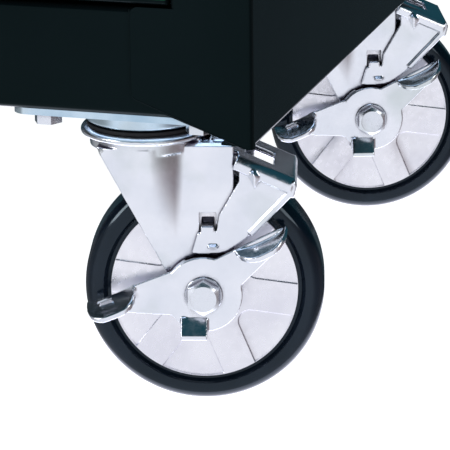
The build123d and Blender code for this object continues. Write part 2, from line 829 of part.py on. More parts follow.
def rocker(name, wheel):
    """Brake pedal: a plate that rocks on the axle, with a tread at each end."""
    left_tread = strip(wheel.offset(rocker_back), *release_tread, rocker_thickness, release_reach, release_tip)
    right_tread = strip(wheel.offset(rocker_back), *brake_tread, rocker_thickness, brake_reach, brake_tip)
    skirt_inner = rocker_radius - rocker_thickness
    skirt_cos = math.cos(math.radians(skirt_half))
    skirt_sin = math.sin(math.radians(skirt_half))
    with BuildPart() as plate:
        with BuildSketch(wheel.offset(rocker_back)):
            for limb in (release_limb, brake_limb):
                with BuildLine():
                    Polyline(*limb, close=True)
                make_face()
            Circle(rocker_radius)
            Circle(axle_radius + running_clearance, mode=Mode.SUBTRACT)
        extrude(amount=rocker_thickness)
        # skirt behind the disc's upper left rim
        with BuildSketch(wheel.offset(leg_outer + 2 * side_clearance)):
            with PolarLocations(0, 1, start_angle=skirt_middle):
                with BuildLine():
                    CenterArc((0, 0), rocker_radius, -skirt_half, 2 * skirt_half)
                    CenterArc((0, 0), skirt_inner, -skirt_half, 2 * skirt_half)
                    Line(
                        (skirt_inner * skirt_cos, skirt_inner * skirt_sin),
                        (rocker_radius * skirt_cos, rocker_radius * skirt_sin),
                    )
                    Line(
                        (skirt_inner * skirt_cos, -skirt_inner * skirt_sin),
                        (rocker_radius * skirt_cos, -rocker_radius * skirt_sin),
                    )
                make_face()
        extrude(amount=rocker_back - leg_outer - 2 * side_clearance)
        add(left_tread)
        add(right_tread)
    save(plate.part, name)


arm_pivot = (2.3, 35.3)
hook_width = 7.0
hook_height = 2.2
bridge_line = [(18.6, 72.2), (47.0, 59.4), (45.6, 52.5)]
bridge_bend = 4.0
near_cheek = [
    (-7.3, 18.8), (-2.9, 33.1), (-1.2, 33.1), (-1.2, 36.4), (5.8, 36.4), (5.8, 33.1), (6.9, 33.2), (8.1, 41.9),
    (19.7, 61.8), (18.6, 73.0), (46.8, 60.0), (45.2, 52.0), (24.7, 31.8), (19.4, 27.4), (16.4, 24.5),
    (12.0, 20.5), (1.0, 18.5),
]
far_cheek = [
    (-2.9, 33.1), (-1.2, 36.4), (5.8, 36.4), (8.1, 41.9), (19.7, 61.8), (18.6, 73.0), (46.8, 60.0),
    (45.2, 52.0), (24.7, 31.8), (12.0, 30.0),
]
tooth = [(47.5, 56.0), (45.0, 57.5), (41.8, 52.3), (43.2, 50.9), (46.6, 52.6)]
tooth_width = 20.0
bridge_hole = (31.5, 66.0)
bridge_hole_length = 13.0
bridge_hole_width = 16.0
tongue_hole = (5.4, 25.2)
tongue_hole_size = 6.4


def brake_arm(name, wheel):
    """Brake arm: a stirrup over the tyre that hooks into both legs and bites when it tips."""
    hook_back = leg_inner - 1.0
    with BuildPart() as arm:
        for outline, start in ((near_cheek, arm_back), (far_cheek, -arm_face)):
            with BuildSketch(wheel.offset(start)):
                with BuildLine():
                    Polyline(*outline, close=True)
                make_face()
            extrude(amount=arm_thickness)
        with BuildSketch(wheel.offset(-arm_face)):
            with BuildLine():
                FilletPolyline(*bridge_line, radius=bridge_bend)
            trace(line_width=arm_thickness)
        extrude(amount=2 * arm_face)
        # hole through the bridge
        with BuildSketch(wheel.offset(-bridge_hole_width / 2)):
            with Locations(bridge_hole):
                Rectangle(bridge_hole_length, bridge_hole_width)
        extrude(amount=bridge_hole_width, mode=Mode.SUBTRACT)
        with BuildSketch(wheel.offset(-tooth_width / 2)):
            with BuildLine():
                Polyline(*tooth, close=True)
            make_face()
        extrude(amount=tooth_width)
        # hooks into the windows of the legs
        for start in (hook_back, -arm_back):
            with BuildSketch(wheel.offset(start)):
                with Locations(arm_pivot):
                    Rectangle(hook_width, hook_height)
            extrude(amount=arm_back - hook_back)
        # pierced square
        with BuildSketch(wheel.offset(arm_back)):
            with Locations(tongue_hole):
                Rectangle(tongue_hole_size, tongue_hole_size)
        extrude(amount=arm_thickness, mode=Mode.SUBTRACT)
    save(arm.part, name)


def rigid_frame(name, x, y, wheel):
    """Rigid caster frame: top plate and two tapering legs, pressed and welded as one."""
    leg_top = plate_bottom - axle_height
    leg_spread = 1.8 * leg_foot_radius
    with BuildPart() as frame_part:
        with BuildSketch(Plane(origin=(x, y, plate_bottom))):
            RectangleRounded(plate_length, plate_depth, plate_corner)
            with GridLocations(bolt_pitch_x, bolt_pitch_y, 2, 2):
                SlotOverall(slot_length, 2 * (bolt_radius + bolt_clearance), mode=Mode.SUBTRACT)
        extrude(amount=plate_thickness)
        for leg_at in (leg_inner, -leg_outer):
            with BuildSketch(wheel.offset(leg_at)):
                with BuildLine():
                    Polyline(
                        (-leg_spread, leg_top),
                        (-leg_foot_radius, 0),
                        (leg_foot_radius, 0),
                        (leg_spread, leg_top),
                        close=True,
                    )
                make_face()
                Circle(leg_foot_radius)
                Circle(axle_radius + running_clearance / 2, mode=Mode.SUBTRACT)
            extrude(amount=fork_wall)
        with BuildSketch(Plane(origin=(x, y, plate_bottom - fork_wall))):
            Rectangle(2 * leg_spread, 2 * leg_outer)
        extrude(amount=fork_wall)
        long_bends = (
            frame_part.edges()
            .filter_by(Axis.X)
            .filter_by(lambda e: abs(e.center().Z - plate_bottom + fork_wall) < tolerance)
            .filter_by(lambda e: abs(abs(e.center().Y - y) - leg_inner) < tolerance)
        )
        fillet(long_bends, fork_wall)
    save(frame_part.part, name)


for name, x, y, turn in (
    ("front_right", caster_x, -caster_y, front_caster_turn),
    ("rear_right", caster_x, caster_y, rear_caster_turn),
):
    ground = ground_plane(x, y, turn)
    wheel = wheel_plane(ground, caster_trail)
    caster_plate(name + "_plate", x, y)
    king_pin(name + "_king_pin", x, y)
    balls(name + "_balls", ground)
    fork(name + "_fork", ground, wheel)
    axle(name + "_axle", wheel, head_back)
    bearings(name + "_bearings", wheel)
    wheel_core(name + "_wheel", wheel, bearing_radius)
    tyre(name + "_tyre", wheel)
    rocker(name + "_pedal", wheel)
    brake_arm(name + "_brake_arm", wheel)

for name, x, y in (("front_left", -caster_x, -caster_y), ("rear_left", -caster_x, caster_y)):
    ground = ground_plane(x, y, 0)
    wheel = wheel_plane(ground, 0)
    rigid_frame(name + "_frame", x, y, wheel)
    axle(name + "_axle", wheel, leg_outer + washer_thickness)
    wheel_core(name + "_wheel", wheel, sleeve_radius + running_clearance)
    tyre(name + "_tyre", wheel)

# Bolts, washers and nuts that hold all four plates to the floor of the cabinet.
bolt_washer = 1.6
bolt_nut_height = 6.5
base_top = base_bottom + sheet
with BuildPart() as bolts:
    with BuildSketch(Plane.XY.offset(plate_bottom - bolt_washer - bolt_head_height)):
        with Locations(*bolt_spots):
            RegularPolygon(bolt_head_flats / 2, 6, major_radius=False)
    extrude(amount=bolt_head_height)
    with BuildSketch(Plane.XY.offset(plate_bottom - bolt_washer)):
        with Locations(*bolt_spots):
            Circle(2 * bolt_radius)
    extrude(amount=bolt_washer)
    with BuildSketch(Plane.XY.offset(plate_bottom)):
        with Locations(*bolt_spots):
            Circle(bolt_radius)
    extrude(amount=base_top + bolt_nut_height + bolt_washer - plate_bottom)
    with BuildSketch(Plane.XY.offset(base_top)):
        with Locations(*bolt_spots):
            RegularPolygon(bolt_head_flats / 2, 6, major_radius=False)
    extrude(amount=bolt_nut_height)
save(bolts.part, "caster_bolts")
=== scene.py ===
import json
import math

import bmesh
import bpy
from mathutils import Matrix, Vector


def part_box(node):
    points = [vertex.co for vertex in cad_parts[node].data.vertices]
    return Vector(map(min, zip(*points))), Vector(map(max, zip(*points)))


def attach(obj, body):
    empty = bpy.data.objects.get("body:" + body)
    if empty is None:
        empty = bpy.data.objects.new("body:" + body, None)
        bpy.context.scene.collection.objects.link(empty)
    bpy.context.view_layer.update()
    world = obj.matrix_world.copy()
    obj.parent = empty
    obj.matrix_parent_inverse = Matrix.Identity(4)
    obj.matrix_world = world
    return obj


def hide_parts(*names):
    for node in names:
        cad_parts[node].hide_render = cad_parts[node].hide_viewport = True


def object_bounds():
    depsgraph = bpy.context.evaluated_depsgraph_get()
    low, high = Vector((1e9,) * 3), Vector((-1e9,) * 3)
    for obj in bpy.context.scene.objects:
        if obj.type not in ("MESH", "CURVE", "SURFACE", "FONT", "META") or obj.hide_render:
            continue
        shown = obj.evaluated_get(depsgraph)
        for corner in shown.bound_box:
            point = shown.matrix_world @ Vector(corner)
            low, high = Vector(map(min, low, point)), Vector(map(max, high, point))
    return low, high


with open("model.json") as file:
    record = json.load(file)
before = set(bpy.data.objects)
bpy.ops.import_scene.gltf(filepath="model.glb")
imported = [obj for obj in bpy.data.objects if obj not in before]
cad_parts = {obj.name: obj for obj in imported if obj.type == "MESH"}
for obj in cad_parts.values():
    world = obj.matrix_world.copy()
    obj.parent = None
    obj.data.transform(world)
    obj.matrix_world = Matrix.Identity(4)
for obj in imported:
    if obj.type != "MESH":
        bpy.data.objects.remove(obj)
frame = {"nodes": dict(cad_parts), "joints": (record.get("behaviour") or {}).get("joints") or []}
cad_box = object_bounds()

# ======================================================================
# Cabinet sheets: sides, kick plate, back, floor, rails and lid.
# 1.2 mm cold-rolled steel, folded and spot-welded, then sprayed with gloss
# black enamel and baked. The enamel keeps a slight orange peel and fine dust.
# ======================================================================
enamel_black = (0.0012, 0.0026, 0.0030, 1.0)
enamel_dust = (0.0022, 0.0042, 0.0050, 1.0)
enamel_mirror = (0.50, 0.95, 1.0, 1.0)
peel_scale = 340.0
peel_height = 0.00002


def shader_of(material):
    """The one shader of a material."""
    return material.node_tree.nodes["Principled BSDF"]


def finish(name, colour, metallic, roughness):
    """A new material with its shader's own colour, metal and roughness set."""
    material = bpy.data.materials.new(name)
    material.use_nodes = True
    shader = shader_of(material)
    shader.inputs["Base Color"].default_value = colour
    shader.inputs["Metallic"].default_value = metallic
    shader.inputs["Roughness"].default_value = roughness
    return material


def grain(material, scale, stretch=(1, 1, 1), detail=4.0, source="Object"):
    """Noise in the piece's own space, stretched along one axis where the finish is brushed."""
    nodes, links = material.node_tree.nodes, material.node_tree.links
    place = nodes.new("ShaderNodeTexCoord")
    mapping = nodes.new("ShaderNodeMapping")
    mapping.inputs["Scale"].default_value = stretch
    noise = nodes.new("ShaderNodeTexNoise")
    noise.inputs["Scale"].default_value = scale
    noise.inputs["Detail"].default_value = detail
    links.new(place.outputs[source], mapping.inputs["Vector"])
    links.new(mapping.outputs["Vector"], noise.inputs["Vector"])
    return noise.outputs["Fac"]


def vary(material, fac, low, high, socket="Roughness", ends=(0.35, 0.65)):
    """Spread a noise over a range of one shader value."""
    nodes, links = material.node_tree.nodes, material.node_tree.links
    spread = nodes.new("ShaderNodeMapRange")
    spread.inputs["From Min"].default_value = ends[0]
    spread.inputs["From Max"].default_value = ends[1]
    spread.inputs["To Min"].default_value = low
    spread.inputs["To Max"].default_value = high
    links.new(fac, spread.inputs["Value"])
    links.new(spread.outputs["Result"], shader_of(material).inputs[socket])


def tint(material, fac, colours, ends=(0.35, 0.65)):
    """Colour the piece along a noise, from the first colour to the last."""
    nodes, links = material.node_tree.nodes, material.node_tree.links
    ramp = nodes.new("ShaderNodeValToRGB")
    stops = ramp.color_ramp.elements
    while len(stops) < len(colours):
        stops.new(0.5)
    for i, colour in enumerate(colours):
        stops[i].position = ends[0] + (ends[1] - ends[0]) * i / (len(colours) - 1)
        stops[i].color = colour
    links.new(fac, ramp.inputs["Fac"])
    links.new(ramp.outputs["Color"], shader_of(material).inputs["Base Color"])
    return ramp


def relief(material, fac, height, strength=1.0):
    """Raise the surface by a noise, by a real height in metres."""
    nodes, links = material.node_tree.nodes, material.node_tree.links
    bump = nodes.new("ShaderNodeBump")
    bump.inputs["Distance"].default_value = height
    bump.inputs["Strength"].default_value = strength
    shader = shader_of(material)
    if shader.inputs["Normal"].links:
        links.new(shader.inputs["Normal"].links[0].from_socket, bump.inputs["Normal"])
    links.new(fac, bump.inputs["Height"])
    links.new(bump.outputs["Normal"], shader.inputs["Normal"])


def blend(material, factor, below, colour):
    """Lay a colour over what is below it, as far as a factor says."""
    nodes, links = material.node_tree.nodes, material.node_tree.links
    mix = nodes.new("ShaderNodeMix")
    mix.data_type = "RGBA"
    mix.inputs["B"].default_value = colour
    links.new(factor, mix.inputs["Factor"])
    links.new(below, mix.inputs["A"])
    return mix.outputs["Result"]


def paint(nodes, material):
    """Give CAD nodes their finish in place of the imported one."""
    for name in nodes:
        mesh = frame["nodes"][name].data
        mesh.materials.clear()
        mesh.materials.append(material)


enamel = finish("cabinet_enamel", enamel_black, 0.0, 0.09)
shader_of(enamel).inputs["Specular IOR Level"].default_value = 0.075
shader_of(enamel).inputs["Specular Tint"].default_value = enamel_mirror
enamel_peel = grain(enamel, peel_scale, detail=2.0)
relief(enamel, enamel_peel, peel_height)
enamel_haze = grain(enamel, 6.0, detail=5.0)
vary(enamel, enamel_haze, 0.05, 0.13)
tint(enamel, enamel_haze, (enamel_black, enamel_dust))
paint(("side_left", "side_right", "kick_plate", "back_panel", "base_pan", "caster_rails",
       "top_lid"), enamel)


def bead(name, points, radius, material, body):
    """A thin round bead laid along a line of points."""
    curve = bpy.data.curves.new(name, "CURVE")
    curve.dimensions = "3D"
    curve.bevel_depth = radius
    curve.bevel_resolution = 2
    curve.use_fill_caps = True
    spline = curve.splines.new("POLY")
    spline.points.add(len(points) - 1)
    for spot, point in zip(spline.points, points):
        spot.co = (*point, 1.0)
    line = bpy.data.objects.new(name + "_line", curve)
    bpy.context.scene.collection.objects.link(line)
    ready = line.evaluated_get(bpy.context.evaluated_depsgraph_get())
    mesh = bpy.data.meshes.new_from_object(ready)
    bpy.data.objects.remove(line)
    for polygon in mesh.polygons:
        polygon.use_smooth = True
    mesh.materials.clear()
    mesh.materials.append(material)
    piece = bpy.data.objects.new(name, mesh)
    bpy.context.scene.collection.objects.link(piece)
    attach(piece, body)


# The enamel gathers in a fine bead along the gussets' cut edges.
front_face = -0.235
gusset_left, gusset_foot, gusset_top, gusset_bend = 0.2792, 0.1769, 0.2240, 0.0045
low_corner = (0.3385, 0.1556)
bead_radius = 0.0004
bead_sunk = 0.0002
for side_name, side in (("right", 1), ("left", -1)):
    bead_line = [(side * gusset_left, gusset_top), (side * gusset_left, gusset_foot + gusset_bend)]
    for t in (0.25, 0.5, 0.75, 1.0):
        bead_line.append((side * (gusset_left + gusset_bend * (1 - math.cos(t))),
                          gusset_foot + gusset_bend * (1 - math.sin(t))))
    bead_line.append((side * low_corner[0], low_corner[1]))
    bead("gusset_bead_" + side_name, [(x, front_face + bead_sunk, z) for x, z in bead_line],
         bead_radius, enamel, "cabinet")

# ======================================================================
# Drawers: folded front pans welded to open trays, same enamel, with a thin
# dark green line just above the lower edge of each front.
# ======================================================================
drawers = [f"drawer_{i}" for i in range(1, 7)]
line_green = (0.006, 0.047, 0.022, 1.0)
line_rise = 0.0035
line_width = 0.0012
front_skin = 0.0145


def sum_node(material, operation, first, second=None):
    """One step of arithmetic in a material."""
    node = material.node_tree.nodes.new("ShaderNodeMath")
    node.operation = operation
    if second is not None:
        node.inputs[1].default_value = second
    material.node_tree.links.new(first, node.inputs[0])
    return node.outputs["Value"]


def lined_enamel(name, low_edge):
    """Drawer enamel with its green line at a height above the front's lower edge."""
    material = finish(name, enamel_black, 0.0, 0.09)
    nodes, links = material.node_tree.nodes, material.node_tree.links
    shader = shader_of(material)
    shader.inputs["Specular IOR Level"].default_value = 0.06
    shader.inputs["Specular Tint"].default_value = enamel_mirror
    peel = grain(material, peel_scale, detail=2.0)
    relief(material, peel, peel_height)
    haze = grain(material, 6.0, detail=5.0)
    vary(material, haze, 0.05, 0.12)
    ramp = tint(material, haze, (enamel_black, enamel_dust))
    place = nodes.new("ShaderNodeTexCoord")
    split = nodes.new("ShaderNodeSeparateXYZ")
    links.new(place.outputs["Object"], split.inputs["Vector"])
    away = sum_node(material, "SUBTRACT", split.outputs["Z"], low_edge + line_rise)
    near = sum_node(material, "ABSOLUTE", away)
    on_line = sum_node(material, "LESS_THAN", near, line_width / 2)
    in_front = sum_node(material, "LESS_THAN", split.outputs["Y"], cad_box[0][1] + front_skin)
    both = sum_node(material, "MULTIPLY", on_line)
    links.new(in_front, both.node.inputs[1])
    links.new(blend(material, both, ramp.outputs["Color"], line_green), shader.inputs["Base Color"])
    return material


for drawer in drawers:
    paint((drawer + "_box",), lined_enamel(drawer + "_enamel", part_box(drawer + "_box")[0].z))

# Pulls: anodised aluminium extrusions, pressed over the top edge of each front.
pull_metal = finish("pull_aluminium", (0.60, 0.61, 0.63, 1.0), 1.0, 0.34)
pull_lines = grain(pull_metal, 900.0, stretch=(0.02, 1, 1), detail=3.0)
vary(pull_metal, pull_lines, 0.28, 0.42)
relief(pull_metal, pull_lines, 0.000015)
tint(pull_metal, grain(pull_metal, 12.0), ((0.56, 0.57, 0.59, 1), (0.66, 0.67, 0.69, 1)))
paint([drawer + "_pull" for drawer in drawers], pull_metal)

# Slides and uprights: rolled and zinc-plated steel channels with a film of grease.
slide_zinc = finish("slide_zinc", (0.62, 0.64, 0.67, 1.0), 1.0, 0.3)
slide_marks = grain(slide_zinc, 160.0, stretch=(1, 0.08, 1))
vary(slide_zinc, slide_marks, 0.22, 0.44)
tint(slide_zinc, grain(slide_zinc, 18.0), ((0.52, 0.55, 0.58, 1), (0.68, 0.70, 0.73, 1)))
relief(slide_zinc, slide_marks, 0.00002)
paint([drawer + "_runners" for drawer in drawers] + ["slide_frame"], slide_zinc)

# ======================================================================
# Top mat: moulded rubber sheet laid on the lid, matt, with a fine stipple.
# ======================================================================
mat_rubber = finish("mat_rubber", (0.020, 0.020, 0.022, 1.0), 0.0, 0.8)
mat_stipple = grain(mat_rubber, 700.0, detail=2.0)
relief(mat_rubber, mat_stipple, 0.00015)
mat_scuff = grain(mat_rubber, 9.0, detail=6.0)
vary(mat_rubber, mat_scuff, 0.68, 0.9)
tint(mat_rubber, mat_scuff, ((0.016, 0.016, 0.018, 1), (0.035, 0.035, 0.037, 1)))
paint(("top_mat",), mat_rubber)

# ======================================================================
# Push handle and lock: chromed tube in two cast brackets, chromed lock barrel.
# ======================================================================
chrome = finish("handle_chrome", (0.78, 0.79, 0.80, 1.0), 1.0, 0.06)
chrome_wipe = grain(chrome, 40.0, detail=6.0)
vary(chrome, chrome_wipe, 0.03, 0.14)
relief(chrome, chrome_wipe, 0.00001)
tint(chrome, grain(chrome, 7.0), ((0.74, 0.75, 0.77, 1), (0.80, 0.81, 0.82, 1)))
paint(("handle_bar", "lock_barrel"), chrome)

cast_black = finish("bracket_enamel", (0.012, 0.013, 0.014, 1.0), 0.0, 0.35)
cast_grain = grain(cast_black, 260.0)
relief(cast_black, cast_grain, 0.00006)
vary(cast_black, grain(cast_black, 20.0), 0.28, 0.46)
tint(cast_black, cast_grain, ((0.010, 0.011, 0.012, 1), (0.018, 0.019, 0.020, 1)))
paint(("handle_brackets",), cast_black)

# ======================================================================
# Caster steel: plates, forks, brake arms and pedals pressed from 3 mm steel,
# tumbled and plated in bright blue zinc, with a faint cloudy sheen.
# ======================================================================
swivels = ("front_right", "rear_right")
fixed = ("front_left", "rear_left")
zinc_film = (0.60, 0.66, 0.66, 1)
# The dark purple below is painted shade for the creases.
zinc_crease_shade = (0.085, 0.075, 0.115, 1)
crease_depth = 0.009


def plated(name, light, dark, low, high):
    """Bright zinc plate: cloudy tone, a greenish film, painted shade darkening the creases, and
    tumbling marks.
    """
    material = finish(name, light, 1.0, low)
    nodes, links = material.node_tree.nodes, material.node_tree.links
    cloud = grain(material, 45.0, detail=6.0)
    ramp = tint(material, cloud, (dark, light))
    film = grain(material, 21.0, detail=3.0)
    film_spread = nodes.new("ShaderNodeMapRange")
    film_spread.inputs["From Min"].default_value = 0.54
    film_spread.inputs["From Max"].default_value = 0.74
    film_spread.inputs["To Max"].default_value = 0.8
    links.new(film, film_spread.inputs["Value"])
    filmed = blend(material, film_spread.outputs["Result"], ramp.outputs["Color"], zinc_film)
    # Painted shade: ambient occlusion darkens the creases and hollows towards a dark purple.
    crease = nodes.new("ShaderNodeAmbientOcclusion")
    crease.samples = 8
    crease.inputs["Distance"].default_value = crease_depth
    crease_spread = nodes.new("ShaderNodeMapRange")
    crease_spread.inputs["From Min"].default_value = 0.74
    crease_spread.inputs["From Max"].default_value = 0.46
    links.new(crease.outputs["AO"], crease_spread.inputs["Value"])
    crease_shaded = blend(material, crease_spread.outputs["Result"], filmed, zinc_crease_shade)
    links.new(crease_shaded, shader_of(material).inputs["Base Color"])
    marks = grain(material, 420.0, detail=5.0)
    vary(material, marks, low, high)
    relief(material, grain(material, 40.0, detail=1.0), 0.00003)
    relief(material, marks, 0.0000006)
    return material


press_zinc = plated("pressing_zinc", (0.86, 0.88, 0.93, 1), (0.78, 0.81, 0.87, 1), 0.15, 0.25)
# The plate's zinc is a darker, bluer copy of the pressing zinc, standing for the blue reflection
# painted on its race.
plate_zinc_painted_reflection = plated("plate_zinc_painted_reflection", (0.60, 0.74, 0.84, 1), (0.42, 0.58, 0.70, 1), 0.12, 0.22)
screw_zinc = plated("fastener_zinc", (0.80, 0.83, 0.88, 1), (0.70, 0.74, 0.80, 1), 0.18, 0.30)
paint([c + "_frame" for c in fixed], press_zinc)
paint([c + "_plate" for c in swivels], plate_zinc_painted_reflection)
paint([c + "_axle" for c in fixed] + [c + "_king_pin" for c in swivels] + ["caster_bolts"],
      screw_zinc)

ball_steel = finish("ball_steel", (0.70, 0.70, 0.72, 1.0), 1.0, 0.08)
ball_oil = grain(ball_steel, 300.0)
vary(ball_steel, ball_oil, 0.05, 0.2)
tint(ball_steel, ball_oil, ((0.55, 0.54, 0.50, 1), (0.74, 0.74, 0.76, 1)))
paint([c + k for c in swivels for k in ("_balls", "_bearings")], ball_steel)

# ======================================================================
# Swivel forks: one blank of 3 mm strip, drawn into a round crown over the balls,
# with two legs folded down. A tapering flute runs down each leg, and a square
# window in each holds the brake arm. Everything is rounded by the press.
# ======================================================================
joints = {joint["name"]: joint for joint in frame["joints"]}
wall = 0.003
leg_in = 0.0185
leg_out = leg_in + wall
trail = (Vector(joints["front_right_wheel_roll"]["pos_m"]).xy
         - Vector(joints["front_right_swivel_turn"]["pos_m"]).xy).length
axle_height = joints["front_right_wheel_roll"]["pos_m"][2]
crown_radius = 0.0336
crown_top = 0.1518 - axle_height
crown_foot = 0.1398 - axle_height
shoulder_top = 0.1453 - axle_height
leg_front = 0.0164
leg_foot = 0.0186
leg_slope = 0.5166
leg_corner = 0.0081
flute_foot = 0.008
flute_depth = 0.0098
flute_start = -0.0330
flute_width = 0.0215
flute_power = 1.9
leg_top = crown_foot + 0.0030
flute_turn = 0.86
flute_end = 1.167
flute_inside = 0.94


def beside(u, h, v):
    """A place on a caster: u ahead of the axle, h out towards the pedal side, v above the axle."""
    return Vector((u, -h, v))


def caster_seat(caster):
    """Where a caster's pieces go: origin at its axle, X along the trail."""
    axis = Vector(joints[caster + "_wheel_roll"]["axis"]).normalized()
    up = Vector((0, 0, 1))
    ahead_of_axle = up.cross(axis)
    seat = Matrix((ahead_of_axle, -axis, up)).transposed().to_4x4()
    seat.translation = Vector(joints[caster + "_wheel_roll"]["pos_m"])
    return seat


def loft(bm, loops, closed=False):
    """Skin closed loops of equal length into a solid, with a flat cap at each end."""
    rings = [[bm.verts.new(point) for point in loop] for loop in loops]
    count = len(rings[0])
    pairs = list(zip(rings, rings[1:])) + ([(rings[-1], rings[0])] if closed else [])
    for near, far in pairs:
        for i in range(count):
            bm.faces.new((near[i], near[(i + 1) % count], far[(i + 1) % count], far[i]))
    if not closed:
        bm.faces.new(rings[0][::-1])
        bm.faces.new(rings[-1])


def around(count):
    """Angles of equal steps once round a circle."""
    return [2 * math.pi * i / count for i in range(count)]


def closed_mesh(name, bm):
    """A mesh from a finished form, with its faces turned outwards."""
    bmesh.ops.recalc_face_normals(bm, faces=bm.faces)
    mesh = bpy.data.meshes.new(name)
    bm.to_mesh(mesh)
    bm.free()
    return mesh


def slab(bm, outline, low, high):
    """A flat plate with this outline, between two distances from the wheel's mid plane."""
    loft(bm, [[beside(u, h, v) for u, v in outline] for h in (low, high)])


def turned(bm, profile, centre_u=0.0, steps=96):
    """A round form about an upright axis, from its profile of radius and height."""
    loops = [[beside(centre_u + r * math.cos(angle), r * math.sin(angle), v) for r, v in profile]
             for angle in around(steps)]
    loft(bm, loops, closed=True)


def arc(centre, radius, start, end, steps):
    """Points along an arc, in degrees."""
    angles = [math.radians(start + (end - start) * i / steps) for i in range(steps + 1)]
    return [(centre[0] + radius * math.cos(a), centre[1] + radius * math.sin(a)) for a in angles]


def rounded(corners, steps=6):
    """An outline with an arc at each corner (u, v, radius)."""
    points = []
    for i, (u, v, radius) in enumerate(corners):
        here = Vector((u, v))
        back = Vector(corners[i - 1][:2]) - here
        on = Vector(corners[(i + 1) % len(corners)][:2]) - here
        if radius == 0:
            points.append((u, v))
            continue
        half = back.angle(on) / 2
        run = min(radius / math.tan(half), 0.49 * back.length, 0.49 * on.length)
        first, last = here + back.normalized() * run, here + on.normalized() * run
        for k in range(steps + 1):
            t = k / steps
            bend = first.lerp(here, t).lerp(here.lerp(last, t), t)
            points.append((bend.x, bend.y))
    return points


press_grid = 0.00055


def pressed(name, bm, grid, rounds):
    """Weld overlapping solids into one pressing whose creases and edges are rounded."""
    piece = bpy.data.objects.new(name + "_blank", closed_mesh(name, bm))
    bpy.context.scene.collection.objects.link(piece)
    weld = piece.modifiers.new("weld", "REMESH")
    weld.mode = "VOXEL"
    weld.voxel_size = grid
    weld.use_smooth_shade = True
    ease = piece.modifiers.new("ease", "SMOOTH")
    ease.iterations = rounds
    ease.factor = 0.5
    ready = piece.evaluated_get(bpy.context.evaluated_depsgraph_get())
    mesh = bpy.data.meshes.new_from_object(ready)
    mesh.name = name
    bpy.data.objects.remove(piece)
    return mesh


def fit(name, mesh, seat, material, body, nodes):
    """Put a finished mesh in place on its body, in the stead of its CAD nodes."""
    piece = bpy.data.objects.new(name, mesh.copy())
    piece.data.transform(seat)
    piece.data.materials.clear()
    piece.data.materials.append(material)
    bpy.context.scene.collection.objects.link(piece)
    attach(piece, body)
    if nodes:
        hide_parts(*nodes)
    return piece


def ease_in(value, low, high):
    """Smooth step from 0 at low to 1 at high."""
    t = min(max((value - low) / (high - low), 0.0), 1.0)
    return t * t * (3 - 2 * t)


def leg_edge(v):
    """The leg's sloping rear edge, and the round foot under the axle."""
    if v < leg_corner:
        return -math.sqrt(max(leg_foot ** 2 - v ** 2, 1e-8))
    return -leg_foot - (v - leg_corner) * leg_slope


def leg_bulge(u, v):
    """How far the flute lifts the leg's face."""
    rise = ease_in(v, flute_foot, crown_foot + 0.010) ** 0.8
    edge = leg_edge(v)
    across = max((u - flute_start) / flute_width, 0.0)
    if across < flute_turn:
        right = 1 - across ** flute_power
    elif across < flute_end:
        fade = (flute_end - across) / (flute_end - flute_turn)
        right = (1 - flute_turn ** flute_power) * fade ** 2
    else:
        right = 0.0
    left = 1 - 0.75 * (1 - ease_in(u, edge - 0.004, max(edge + 0.012, -0.026)))
    crown = crown_radius ** 2 - (u + trail) ** 2
    reach = math.sqrt(max(crown, 0)) + 0.0004 - leg_out
    tuck = 0.0024 * ease_in(v, leg_top - 0.0050, leg_top)
    return min(flute_depth * rise * right * left, max(reach - tuck, 0))


def scoop(bm, left, right, top, foot, deep, out, thick=0.0020, tilt=62):
    """A tongue that leaves a face at its top edge and curves outwards to a lip."""
    loops = []
    begin = math.radians(tilt)
    for u in (left, right):
        front_line, back_line = [], []
        for k in range(13):
            t = begin + (math.radians(90) - begin) * k / 12
            v = top - (top - foot) * (math.sin(t) - math.sin(begin)) / (1 - math.sin(begin))
            h = deep + (out - deep) * (math.cos(begin) - math.cos(t)) / math.cos(begin)
            front_line.append(beside(u, h, v))
            back_line.append(beside(u, h - thick * math.cos(t), v - thick * math.sin(t)))
        loops.append(front_line + back_line[::-1])
    loft(bm, loops)


